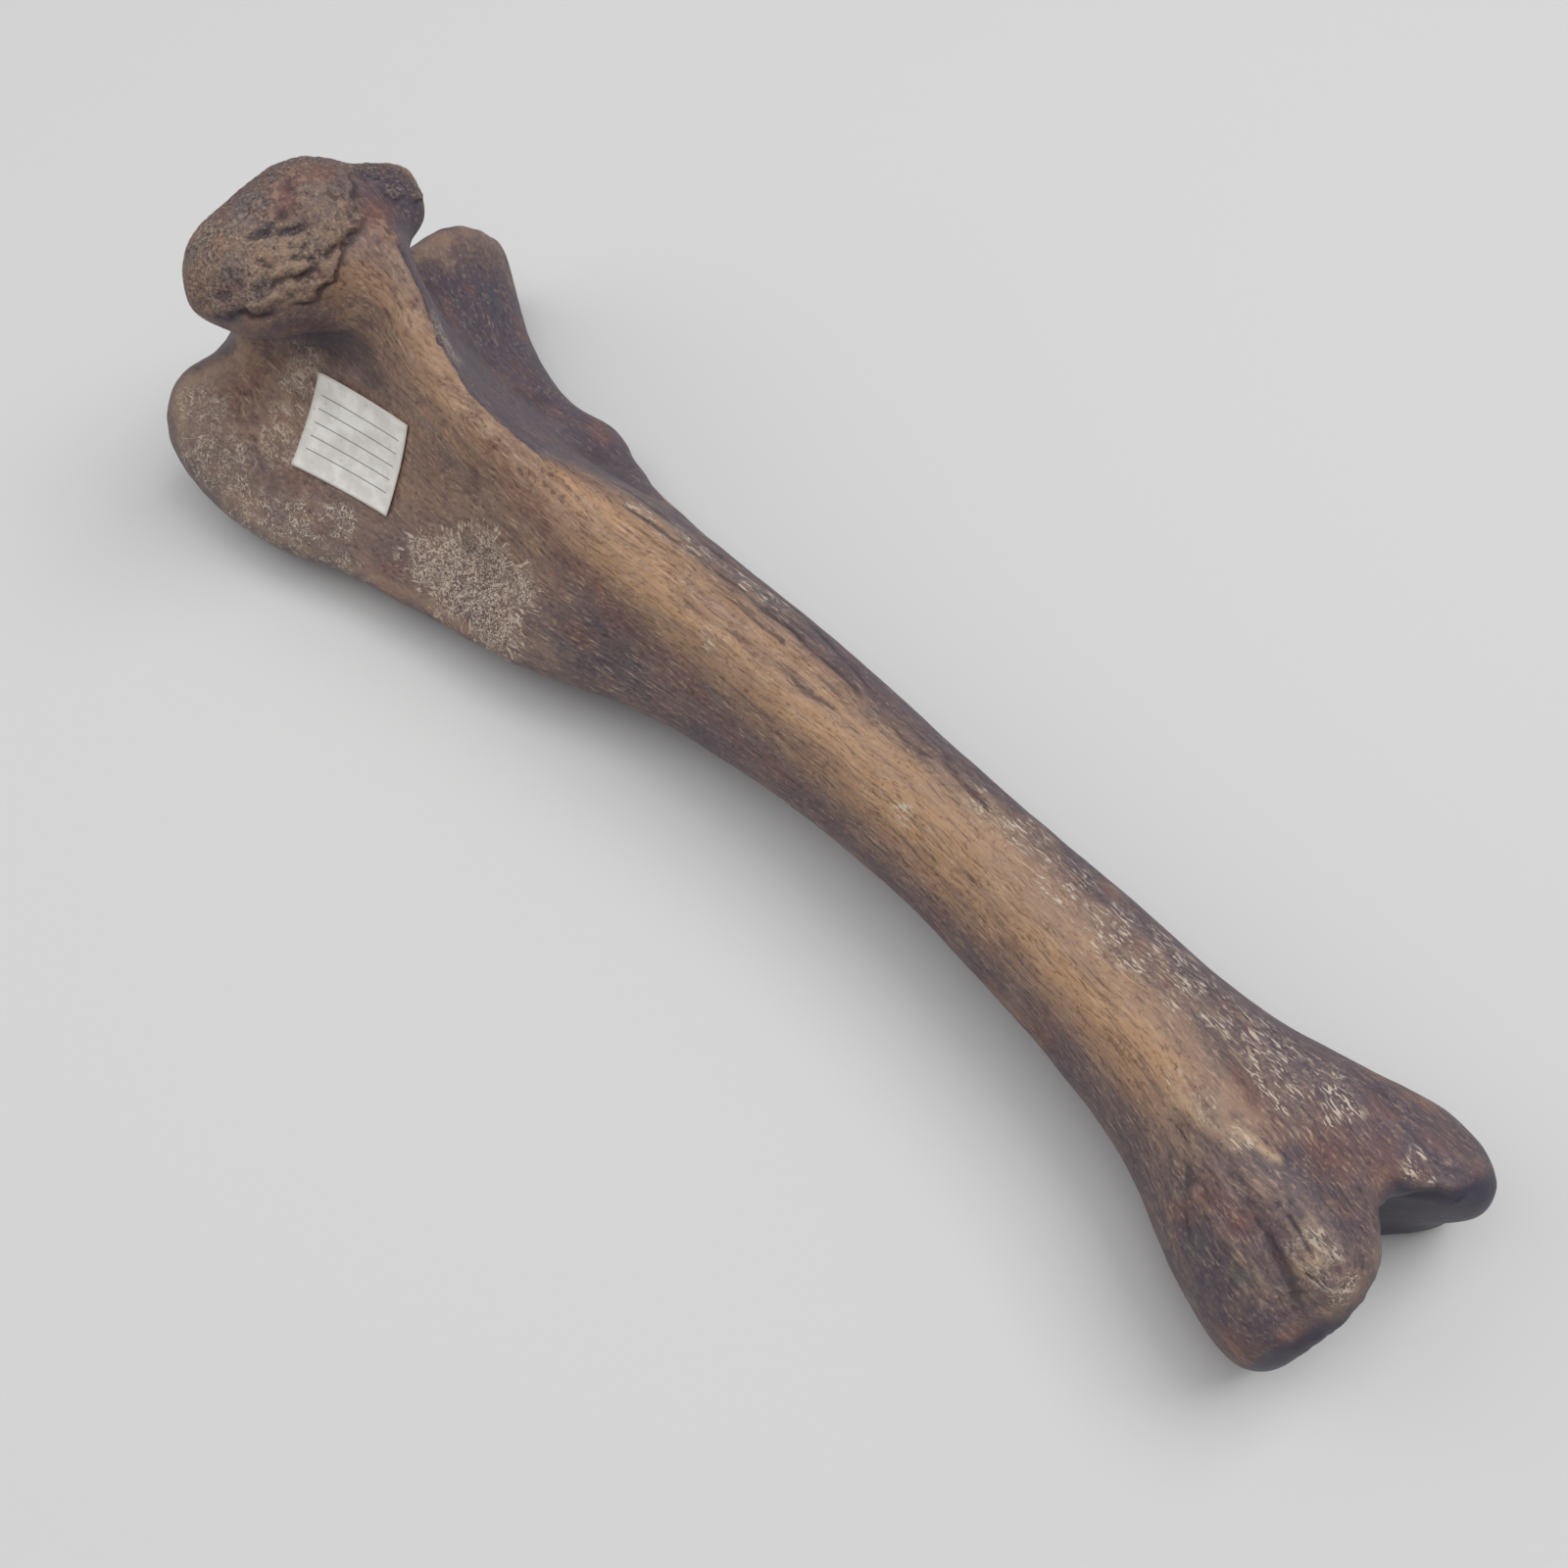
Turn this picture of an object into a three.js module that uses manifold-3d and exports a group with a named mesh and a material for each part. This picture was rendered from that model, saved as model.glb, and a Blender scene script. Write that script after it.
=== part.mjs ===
// A fossil left shin bone (tibia) of a small Ice Age horse, lying on its back edge, with a blank paper
// specimen label glued to its inner face. Units are millimetres.
//
// X runs down the bone from the knee end to the ankle end, Y points to the outer (lateral) side,
// and Z points up, which is the front of the leg. The bone is one closed skin: a row of cross-sections
// is joined along X, the two joint surfaces close it, and small forms are added to or taken from it.
import * as THREE from "three";
import { mergeVertices } from "three/addons/utils/BufferGeometryUtils.js";
import Module from "manifold-3d";

// Driving dimensions
const FLAT_CUT = 0.7; // how much is worn off each of the three places that the bone rests on
const CELL = 3.9; // size of the net that the skin is drawn with
const SHAFT_STRETCH = 1.1; // how much longer the net's cells are along the plain shaft
const LABEL_LENGTH = 26.5; // along the bone
const LABEL_HEIGHT = 22.5; // from the front ridge down towards the inner edge
const LABEL_THICKNESS = 0.35;
const LABEL_GAP = 0.5; // room for the glue between paper and bone

// Cross-sections. Each is cut square to the bone at x, and lists [y, z] from the front ridge, round the
// outer side, the back and the inner side:
// front ridge, outer hump, beak, throat, groove floor, outer shoulder, outermost, back outer corner,
// middle of the back, back inner corner, innermost, inner edge, inner hollow, under the knob, knob's tip.
const SECTIONS = [
  { x: 3, outline: [[-8, 65], [2, 66], [8, 62], [11, 55], [15, 47],
    [29, 40], [46, 26], [39.5, 1], [1, 16], [-35, 0.8],
    [-48, 17], [-45.5, 31], [-34, 43], [-26, 51], [-21, 60]] },
  { x: 14, outline: [[-8, 68], [2, 69], [8.5, 65], [9.5, 57], [12, 48],
    [25, 41], [46, 25], [38.5, 0.5], [2, 15], [-38, 0.8],
    [-50.5, 14.5], [-47, 28], [-34, 41], [-25, 51], [-22, 61]] },
  { x: 30, outline: [[-7, 73], [1, 74], [7, 69], [8, 60], [9, 50],
    [17, 39], [37, 22], [34, 5], [3, 12], [-40, 5.5],
    [-50.7, 13.5], [-46, 24], [-31, 37.5], [-21.5, 50], [-18.5, 62]] },
  { x: 45, outline: [[-4, 74], [1, 75.5], [4.3, 70], [6, 60], [8, 49],
    [14, 36], [31, 19], [28.5, 7], [4, 11], [-37, 7.5],
    [-47.5, 13], [-42, 22], [-26, 37], [-15, 52], [-10, 66]] },
  { x: 62, outline: [[-8.8, 64], [-4.7, 66.8], [-1.2, 60.5], [3.2, 50], [8.5, 40],
    [16, 29], [28, 18], [25, 9.5], [6, 11], [-30, 8.5],
    [-41, 13.5], [-37, 20.5], [-24, 34.5], [-16, 47], [-12, 57]] },
  { x: 76, outline: [[-10.5, 58.5], [-7, 61.3], [-3.5, 56], [3, 46.5], [9.5, 37],
    [17, 28], [30.5, 18], [27, 10.5], [7, 11.5], [-27, 9.5],
    [-37, 14], [-33, 21], [-22, 33.5], [-16, 45], [-13, 53]] },
  { x: 88, outline: [[-10.5, 55.5], [-6.7, 58], [-2.7, 53.5], [4.3, 45], [10.5, 36.5],
    [16, 28], [27, 19], [23, 12], [8, 12], [-24, 10.5],
    [-34, 14.5], [-30.5, 21.5], [-20.5, 33], [-15, 43.5], [-12, 51]] },
  { x: 112, outline: [[-8, 52], [-3, 53.5], [3.5, 50.5], [9, 44.5], [14, 38],
    [18, 31], [22, 24], [18, 15.5], [8, 13], [-18, 11.5],
    [-28, 16], [-26, 23], [-19, 32.5], [-14, 41.5], [-11, 48]] },
  { x: 140, outline: [[-3.5, 50], [2.5, 49.7], [8.5, 47], [13, 42.5], [16.5, 37.5],
    [19.5, 31.5], [21.5, 25], [18.5, 17.5], [8, 14], [-8, 13.5],
    [-17, 18], [-16.5, 26], [-13, 34], [-10, 41.5], [-7.5, 47]] },
  { x: 168, outline: [[-0.5, 47], [5.5, 46.5], [10.5, 44.5], [14.5, 41.5], [18, 37],
    [20, 31], [20.5, 25.5], [17.5, 18.5], [8, 14.5], [-3, 14.3],
    [-11, 18.5], [-12, 26], [-10, 34], [-7.5, 40.5], [-4.5, 45.2]] },
  { x: 206, outline: [[4, 45], [9, 44.2], [13, 42.2], [16, 39], [18.3, 35],
    [19.5, 30], [19.5, 25], [17, 19], [9, 15], [-1.5, 14.8],
    [-7.5, 19], [-9.5, 26], [-8, 33], [-5, 39.5], [-0.5, 43.8]] },
  { x: 245, outline: [[3, 44], [9, 43], [13.5, 41], [17, 38], [19.5, 34],
    [21, 29], [21, 23.5], [17.5, 17], [7.5, 12.5], [-3.5, 12.5],
    [-9.5, 17.5], [-11.5, 24.5], [-10, 32], [-7, 38.5], [-2.5, 42.8]] },
  { x: 275, outline: [[0, 44.5], [6, 43], [11.5, 40.5], [16, 37.5], [20, 33],
    [23, 27], [23, 20.5], [19, 13], [7, 8.5], [-6, 9],
    [-13, 14], [-16, 22], [-15, 31], [-11, 38.5], [-6, 43]] },
  { x: 298, outline: [[-5, 44.5], [4, 41], [12, 38.5], [19.5, 36.5], [25.5, 32.5],
    [29, 26.5], [29, 18.5], [25, 8], [8, 3.5], [-12, 4],
    [-22, 10], [-25.5, 19], [-24, 30], [-19, 38.5], [-12.5, 43.5]] },
  { x: 314, outline: [[-6, 42], [4, 37.5], [12, 36], [21, 35.5], [29, 32],
    [33.5, 25.5], [33.5, 16.5], [28.5, 3], [8, 2.2], [-14, 1.2],
    [-24.5, 8], [-29.5, 18], [-28, 28], [-22, 36], [-15, 40.5]] },
  { x: 336, outline: [[-6, 36], [4, 33], [12, 32], [20, 32], [27, 29],
    [31, 23], [31, 14.5], [26, 3.5], [8, 3], [-13, 2.2],
    [-22, 8], [-27, 17], [-26, 25], [-19, 30.5], [-13, 34.5]] },
];
const STEPS_PER_MARK = 4; // points drawn between two neighbouring marks of a section

const lerp = THREE.MathUtils.lerp;
const smoothstep = (value, low, high) => THREE.MathUtils.smoothstep(value, low, high);
const bell = (value, centre, width) => Math.exp(-(((value - centre) / width) ** 2));

// Joins two fields so that the inside of both is kept, with an edge rounded over width k.
function both(a, b, k) {
  const h = Math.max(k - Math.abs(a - b), 0) / k;
  return Math.max(a, b) + (h * h * k) / 4;
}

// Joins two fields so that the inside of either is kept, with a filleted inner corner of width k.
const either = (a, b, k) => -both(-a, -b, k);

// One number followed along the bone by a smooth curve through its values at the sections.
function along(values, places, i, t) {
  const last = places.length - 1;
  const step = places[i + 1] - places[i];
  const slope = (j) => {
    const low = Math.max(j - 1, 0);
    const high = Math.min(j + 1, last);
    return (values[high] - values[low]) / (places[high] - places[low]);
  };
  const t2 = t * t;
  const t3 = t2 * t;
  return (2 * t3 - 3 * t2 + 1) * values[i] + (t3 - 2 * t2 + t) * step * slope(i) +
    (3 * t2 - 2 * t3) * values[i + 1] + (t3 - t2) * step * slope(i + 1);
}

const PLACES = SECTIONS.map((s) => s.x);
const MARKS = SECTIONS[0].outline.length;
const MARK_Y = Array.from({ length: MARKS }, (_, m) => SECTIONS.map((s) => s.outline[m][0]));
const MARK_Z = Array.from({ length: MARKS }, (_, m) => SECTIONS.map((s) => s.outline[m][1]));

// The outline of the bone's cross-section at x, as a flat list y, z, y, z.
function outlineAt(x) {
  const at = Math.min(Math.max(x, PLACES[0]), PLACES[PLACES.length - 1] - 1e-6);
  let i = 0;
  while (at >= PLACES[i + 1]) i++;
  const t = (at - PLACES[i]) / (PLACES[i + 1] - PLACES[i]);
  const y = MARK_Y.map((values) => along(values, PLACES, i, t));
  const z = MARK_Z.map((values) => along(values, PLACES, i, t));
  const points = new Float64Array(MARKS * STEPS_PER_MARK * 2);
  let n = 0;
  for (let m = 0; m < MARKS; m++) {
    const a = (m + MARKS - 1) % MARKS;
    const b = (m + 1) % MARKS;
    const c = (m + 2) % MARKS;
    for (let s = 0; s < STEPS_PER_MARK; s++) {
      const u = s / STEPS_PER_MARK;
      points[n++] = catmull(y[a], y[m], y[b], y[c], u);
      points[n++] = catmull(z[a], z[m], z[b], z[c], u);
    }
  }
  return points;
}

function catmull(p0, p1, p2, p3, t) {
  const v0 = (p2 - p0) / 2;
  const v1 = (p3 - p1) / 2;
  return (2 * p1 - 2 * p2 + v0 + v1) * t ** 3 + (3 * p2 - 3 * p1 - 2 * v0 - v1) * t * t + v0 * t + p1;
}

// How far (y, z) is outside an outline, negative inside it.
function fromOutline(points, y, z) {
  let nearest = Infinity;
  let inside = false;
  const count = points.length / 2;
  for (let i = 0, j = count - 1; i < count; j = i++) {
    const ay = points[2 * j];
    const az = points[2 * j + 1];
    const by = points[2 * i];
    const bz = points[2 * i + 1];
    const ey = by - ay;
    const ez = bz - az;
    const share = Math.min(Math.max(((y - ay) * ey + (z - az) * ez) / (ey * ey + ez * ez), 0), 1);
    const dy = y - ay - share * ey;
    const dz = z - az - share * ez;
    nearest = Math.min(nearest, dy * dy + dz * dz);
    if (az > z !== bz > z && y < ((by - ay) * (z - az)) / (bz - az) + ay) inside = !inside;
  }
  return Math.sqrt(nearest) * (inside ? -1 : 1);
}

// How far (x, y, z) is outside an egg-shaped form, negative inside it. Its lower half can be flatter.
function egg(x, y, z, centre, radii, under = radii[2]) {
  const height = z < centre[2] ? under : radii[2];
  const [px, py, pz] = [(x - centre[0]) / radii[0], (y - centre[1]) / radii[1], (z - centre[2]) / height];
  const near = Math.hypot(px, py, pz);
  const steep = Math.hypot(px / radii[0], py / radii[1], pz / height);
  return steep > 1e-9 ? (near * (near - 1)) / steep : -Math.min(...radii);
}

// How far (x, y, z) is from a straight rod of one radius, negative inside it.
function rod(x, y, z, from, to, radius) {
  const [ex, ey, ez] = [to[0] - from[0], to[1] - from[1], to[2] - from[2]];
  const [px, py, pz] = [x - from[0], y - from[1], z - from[2]];
  const share = THREE.MathUtils.clamp((px * ex + py * ey + pz * ez) / (ex * ex + ey * ey + ez * ez), 0, 1);
  return Math.hypot(px - share * ex, py - share * ey, pz - share * ez) - radius;
}

// The value of a broken line through [at, value] pairs.
function broken(pairs, at) {
  let i = 0;
  while (i + 2 < pairs.length && at > pairs[i + 1][0]) i++;
  const t = THREE.MathUtils.clamp((at - pairs[i][0]) / (pairs[i + 1][0] - pairs[i][0]), 0, 1);
  return lerp(pairs[i][1], pairs[i + 1][1], t);
}

// The knee surface: two shallow dished plates with a two-peaked ridge between them. A bay on each side
// parts the plates from the knob, and the outer plate lies lower down the leg. Each form is a soft round
// one: how far it moves the surface down the leg, its middle [y, z] and its half widths.
const KNEE_LEVEL = 2;
const OUTER_PLATE_DROP = 8;
const KNOB_SETBACK = 10; // how much farther down the leg the face below the knob lies than the plates
const RIM_DROP = 2.4;
const KNEE_FORMS = {
  outerBay: { drop: 16, at: [18.5, 48], half: [10, 10] },
  innerBay: { drop: 16, at: [-33, 46], half: [10, 9] },
  innerDish: { drop: 2, at: [-26, 24], half: [12, 12] },
  outerDish: { drop: 1.5, at: [27, 22], half: [10, 11] },
  innerPeak: { drop: -11, at: [-7, 30], half: [7.5, 10] },
  outerPeak: { drop: -9, at: [7.5, 26], half: [6.5, 9] },
  frontHollow: { drop: 4, at: [-4, 46], half: [10, 6] },
  backNotch: { drop: 6, at: [0, 10], half: [8, 8] },
};
function kneeSurface(y, z) {
  let x = KNEE_LEVEL + OUTER_PLATE_DROP * smoothstep(y, -5, 30);
  x += KNOB_SETBACK * smoothstep(z, 46, 66);
  x += RIM_DROP * smoothstep(Math.abs(y + 1), 36, 48);
  for (const { drop, at, half } of Object.values(KNEE_FORMS)) {
    x += drop * bell(y, at[0], half[0]) * bell(z, at[1], half[1]);
  }
  return x;
}

// The knob at the front of the knee end: three lumps grown together, and a rough plate that stands
// proud of them and stops at a ragged ledge.
const KNOB = [
  { centre: [24.5, -19, 64.5], radii: [16.5, 16.5, 14], under: 7 },
  { centre: [26.5, -4.5, 66], radii: [19, 15, 15.2], under: 14 },
  { centre: [24.5, 12.5, 63.5], radii: [9, 9, 7], under: 7 },
];
const PLATE_END = [[-36, 24], [-31, 29], [-29, 34], [-24, 40], [-19, 40], [-14, 44], [-9, 43], [-6, 37],
  [-2, 31], [3, 29], [8, 23], [14, 26], [20, 24]];
const PLATE_RISE = 1.6;
const KNOB_BLEND = 7; // how softly the lumps grow together
function knob(x, y, z) {
  const lumps = KNOB.map(({ centre, radii, under }) => egg(x, y, z, centre, radii, under));
  const d = lumps.reduce((all, lump) => either(all, lump, KNOB_BLEND));
  return d - PLATE_RISE * smoothstep(broken(PLATE_END, y) - x, -1, 2.5) * smoothstep(z, 56, 62);
}

// The ankle surface: two slanting grooves with a ridge between them. The inner groove is closed in front
// by a lump, and the outer one opens forwards as an arch. Both run shallow towards the back.
const ANKLE_LEVEL = 324;
const OUTER_ANKLE_DROP = 7; // how much farther down the leg the outer side reaches
const INNER_TIP_ROUNDING = 4.5;
const OUTER_TIP_ROUNDING = 6;
const OUTER_FRONT_ROUNDING = 5; // the outer tip is blunt and rounded in front, beside the arch
const OUTER_BACK_LOSS = 4.5; // and behind the arch the outer side stops short
const ANKLE_LEAN = 0.04; // how far the back edge lies beyond the front one, for each millimetre of height
const GROOVE_SLANT = 0.25; // how far a groove moves outwards for each millimetre towards the front
const OUTER_GROOVE = { at: 5.4, width: 8.2, depth: 11.5, backLoss: 1, frontLoss: 3.4, front: [24, 36] };
const INNER_GROOVE = { at: -12.5, width: 7, depth: 9, backLoss: 6, frontLoss: 9, front: [20, 33] };
function grooveDepth(groove, y, z) {
  const across = y - GROOVE_SLANT * (z - 20);
  const depth = groove.depth - groove.backLoss * smoothstep(18 - z, 0, 14) -
    groove.frontLoss * smoothstep(z, ...groove.front);
  return depth * bell(across, groove.at, groove.width);
}

function ankleSurface(y, z) {
  let x = ANKLE_LEVEL + OUTER_ANKLE_DROP * smoothstep(y, 11, 25) - ANKLE_LEAN * (z - 20);
  x -= grooveDepth(OUTER_GROOVE, y, z) + grooveDepth(INNER_GROOVE, y, z);
  x -= INNER_TIP_ROUNDING * smoothstep(-y, 19, 31) + OUTER_TIP_ROUNDING * smoothstep(y, 25, 34);
  x -= OUTER_FRONT_ROUNDING * smoothstep(z, 22, 38) * smoothstep(y, 17, 25);
  x -= OUTER_BACK_LOSS * smoothstep(-z, -26, -8) * smoothstep(y, 7, 14) * smoothstep(-y, -32, -24);
  return x;
}

// Small forms at the front of the ankle end: a lump above the ridge and a furrow beside it.
const ANKLE_LUMP = { centre: [308, -11, 34], radii: [14, 8, 9.5] };
const ANKLE_FURROW = [[284, -12, 45.5], [303, -17, 45], [318, -21, 38]];
const FURROW_RADII = [2.6, 3];

// How far a point is outside the bone, negative inside it.
const KNEE_REACH = 70; // the knee end's forms lie nearer to the knee than this
const ANKLE_REACH = 250; // and the ankle end's forms lie beyond this
const KNEE_ROUNDING = 5;
const ANKLE_ROUNDING = 7; // the inner side's rim is round, and the outer side's is sharper
const OUTER_ANKLE_ROUNDING = 3;
function boneField(x, y, z, outline = outlineAt(x)) {
  let d = fromOutline(outline, y, z);
  if (x < KNEE_REACH) {
    d = both(d, kneeSurface(y, z) - x, KNEE_ROUNDING);
    d = either(d, knob(x, y, z), KNEE_ROUNDING);
  }
  if (x > ANKLE_REACH) {
    d = either(d, egg(x, y, z, ANKLE_LUMP.centre, ANKLE_LUMP.radii), 6);
    d = both(d, x - ankleSurface(y, z), lerp(ANKLE_ROUNDING, OUTER_ANKLE_ROUNDING, smoothstep(y, 0, 12)));
    FURROW_RADII.forEach((radius, n) => {
      d = both(d, -rod(x, y, z, ANKLE_FURROW[n], ANKLE_FURROW[n + 1], radius), 4);
    });
  }
  return d;
}

// Walks a point down the field's slope until it lies on the skin.
function ontoSkin(p, reach) {
  const h = 0.05;
  for (let n = 0; n < 4; n++) {
    const d = boneField(p.x, p.y, p.z);
    const slope = skinNormal(p, h);
    const length = Math.max(slope.length(), 0.4);
    p.addScaledVector(slope, THREE.MathUtils.clamp(-d / (length * length), -reach, reach));
  }
  return p;
}

function skinNormal(p, h = 0.05) {
  const d = (dx, dy, dz) => boneField(p.x + dx, p.y + dy, p.z + dz);
  return new THREE.Vector3(
    (d(h, 0, 0) - d(-h, 0, 0)) / (2 * h),
    (d(0, h, 0) - d(0, -h, 0)) / (2 * h),
    (d(0, 0, h) - d(0, 0, -h)) / (2 * h),
  );
}

// The lines of the net across one axis. Their spacing is a number, or follows from the place.
function lines(low, high, spacing) {
  const found = [low];
  while (found[found.length - 1] < high) {
    const at = found[found.length - 1];
    found.push(at + (typeof spacing === "function" ? spacing(at) : spacing));
  }
  return found;
}

// Draws the skin as a net of small four-sided faces: one point in each cell that the skin passes through.
function drawSkin() {
  const onShaft = (x) => smoothstep(x, 70, 120) * smoothstep(-x, -275, -240);
  const xs = lines(-16, 342, (x) => CELL * (1 + SHAFT_STRETCH * onShaft(x)));
  const ys = lines(-58, 52, CELL * 0.97);
  const zs = lines(-6, 92, CELL * 0.97);
  const [nx, ny, nz] = [xs.length, ys.length, zs.length];
  const index = (i, j, k) => (i * ny + j) * nz + k;
  const field = new Float64Array(nx * ny * nz);
  for (let i = 0; i < nx; i++) {
    const outline = outlineAt(xs[i]);
    for (let j = 0; j < ny; j++) {
      for (let k = 0; k < nz; k++) field[index(i, j, k)] = boneField(xs[i], ys[j], zs[k], outline);
    }
  }
  const points = [];
  const pointOf = new Int32Array(nx * ny * nz).fill(-1);
  for (let i = 0; i + 1 < nx; i++) {
    for (let j = 0; j + 1 < ny; j++) {
      for (let k = 0; k + 1 < nz; k++) {
        const middle = crossingMiddle(i, j, k, xs, ys, zs, field, index);
        if (!middle) continue;
        pointOf[index(i, j, k)] = points.length;
        points.push(middle);
      }
    }
  }
  const quads = [];
  const add = (a, b, c, d, flip) => quads.push(flip ? [d, c, b, a] : [a, b, c, d]);
  for (let i = 1; i + 1 < nx; i++) {
    for (let j = 1; j + 1 < ny; j++) {
      for (let k = 1; k + 1 < nz; k++) {
        const inside = field[index(i, j, k)] < 0;
        const cell = (a, b, c) => pointOf[index(i - a, j - b, k - c)];
        if (inside !== field[index(i + 1, j, k)] < 0) {
          add(cell(0, 1, 1), cell(0, 0, 1), cell(0, 0, 0), cell(0, 1, 0), !inside);
        }
        if (inside !== field[index(i, j + 1, k)] < 0) {
          add(cell(1, 0, 1), cell(1, 0, 0), cell(0, 0, 0), cell(0, 0, 1), !inside);
        }
        if (inside !== field[index(i, j, k + 1)] < 0) {
          add(cell(1, 1, 0), cell(0, 1, 0), cell(0, 0, 0), cell(1, 0, 0), !inside);
        }
      }
    }
  }
  return { points, quads };
}

// The middle of the places where the skin crosses a cell's twelve edges, or null where it doesn't.
const CORNERS = [0, 1, 2, 3, 4, 5, 6, 7].map((c) => [c & 1, (c >> 1) & 1, (c >> 2) & 1]);
const EDGES = CORNERS.flatMap((_, c) => [1, 2, 4].filter((bit) => !(c & bit)).map((bit) => [c, c | bit]));
function crossingMiddle(i, j, k, xs, ys, zs, field, index) {
  const value = CORNERS.map(([a, b, c]) => field[index(i + a, j + b, k + c)]);
  const middle = new THREE.Vector3();
  let crossings = 0;
  for (const [from, to] of EDGES) {
    if (value[from] < 0 === value[to] < 0) continue;
    const t = value[from] / (value[from] - value[to]);
    const [a, b] = [CORNERS[from], CORNERS[to]];
    middle.x += lerp(xs[i + a[0]], xs[i + b[0]], t);
    middle.y += lerp(ys[j + a[1]], ys[j + b[1]], t);
    middle.z += lerp(zs[k + a[2]], zs[k + b[2]], t);
    crossings++;
  }
  return crossings ? middle.divideScalar(crossings) : null;
}

// Evens out the net's faces while keeping its points on the skin.
function relax(points, quads, rounds) {
  for (let round = 0; round < rounds; round++) {
    const sum = points.map(() => new THREE.Vector3());
    const count = new Uint16Array(points.length);
    for (const quad of quads) {
      quad.forEach((p, n) => {
        sum[p].add(points[quad[(n + 1) % 4]]).add(points[quad[(n + 3) % 4]]);
        count[p] += 2;
      });
    }
    points.forEach((p, n) => p.lerp(sum[n].divideScalar(count[n]), 0.5));
    points.forEach((p) => ontoSkin(p, CELL / 2));
  }
}

// Two triangles for each face, split across its shorter diagonal.
function skinGeometry({ points, quads }) {
  const faces = [];
  for (const [a, b, c, d] of quads) {
    const short = points[a].distanceTo(points[c]) < points[b].distanceTo(points[d]);
    faces.push(...(short ? [a, b, c, a, c, d] : [a, b, d, b, c, d]));
  }
  const position = new THREE.BufferAttribute(new Float32Array(points.flatMap((p) => p.toArray())), 3);
  return new THREE.BufferGeometry().setAttribute("position", position).setIndex(faces);
}

const wasm = await Module();
wasm.setup();

function toSolid(geometry) {
  const bare = geometry.clone();
  bare.deleteAttribute("normal");
  bare.deleteAttribute("uv");
  const merged = mergeVertices(bare);
  return new wasm.Manifold(new wasm.Mesh({
    numProp: 3,
    vertProperties: merged.getAttribute("position").array,
    triVerts: new Uint32Array(merged.getIndex().array),
  }));
}

function toGeometry(solid) {
  const mesh = solid.getMesh();
  const position = new THREE.BufferAttribute(Float32Array.from(mesh.vertProperties), 3);
  return new THREE.BufferGeometry()
    .setAttribute("position", position)
    .setIndex(new THREE.BufferAttribute(Uint32Array.from(mesh.triVerts), 1));
}

// The lowest point of the skin in one stretch of the bone, on one side of its middle.
function lowestBetween(points, from, to, side) {
  return Math.min(...points.filter((p) => p.x > from && p.x < to && p.y * side > 0).map((p) => p.z));
}

const net = drawSkin();
relax(net.points, net.quads, 5);
const restHeight = FLAT_CUT + Math.max(
  lowestBetween(net.points, -20, 60, -1),
  lowestBetween(net.points, -20, 60, 1),
  lowestBetween(net.points, 280, 345, 1),
);

const skin = toSolid(skinGeometry(net));
const floorBlock = new THREE.BoxGeometry(400, 200, 40).translate(160, 0, restHeight - 20);
const boneGeometry = toGeometry(skin.subtract(toSolid(floorBlock)));

const bone = new THREE.Mesh(
  boneGeometry,
  new THREE.MeshStandardMaterial({ color: 0x7a553a, roughness: 0.62, metalness: 0 }),
);
bone.name = "tibia";

// The paper label: a thin sheet that follows the bone's inner face at the thickness of the glue.
const LABEL_MIDDLE = new THREE.Vector3(52.5, -24.6, 38);
const LABEL_OUT = new THREE.Vector3(0.165, -0.78, 0.6).normalize();
const LABEL_ALONG = new THREE.Vector3(0.975, 0.21, 0).projectOnPlane(LABEL_OUT).normalize();
const LABEL_UP = new THREE.Vector3().crossVectors(LABEL_OUT, LABEL_ALONG);
const LABEL_STEPS = [9, 8];

// The point of the sheet's under side that lies at a share of its length and of its height.
function underLabel(alongShare, upShare) {
  const p = LABEL_MIDDLE.clone()
    .addScaledVector(LABEL_ALONG, (alongShare - 0.5) * LABEL_LENGTH)
    .addScaledVector(LABEL_UP, (upShare - 0.5) * LABEL_HEIGHT);
  let [low, high] = [-12, 12];
  for (let n = 0; n < 24; n++) {
    const middle = (low + high) / 2;
    const q = p.clone().addScaledVector(LABEL_OUT, middle);
    if (boneField(q.x, q.y, q.z) < LABEL_GAP) low = middle;
    else high = middle;
  }
  return p.addScaledVector(LABEL_OUT, high);
}

function labelGeometry() {
  const [m, n] = LABEL_STEPS;
  const sheet = new THREE.BoxGeometry(1, 1, 1, m, n, 1);
  const position = sheet.getAttribute("position");
  for (let i = 0; i < position.count; i++) {
    const p = underLabel(position.getX(i) + 0.5, position.getY(i) + 0.5);
    if (position.getZ(i) > 0) p.addScaledVector(LABEL_OUT, LABEL_THICKNESS);
    position.setXYZ(i, p.x, p.y, p.z);
  }
  return toGeometry(toSolid(sheet));
}

const label = new THREE.Mesh(
  labelGeometry(),
  new THREE.MeshStandardMaterial({ color: 0xd9d6cd, roughness: 0.8, metalness: 0 }),
);
label.name = "label";

const group = new THREE.Group();
group.add(bone, label);
const size = new THREE.Box3().setFromObject(bone);
group.position.set(
  -(size.min.x + size.max.x) / 2,
  -(size.min.y + size.max.y) / 2,
  -size.min.z,
);

export default group;
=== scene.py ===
import bmesh
import bpy
import numpy as np
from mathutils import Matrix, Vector, noise
from mathutils.bvhtree import BVHTree


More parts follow.
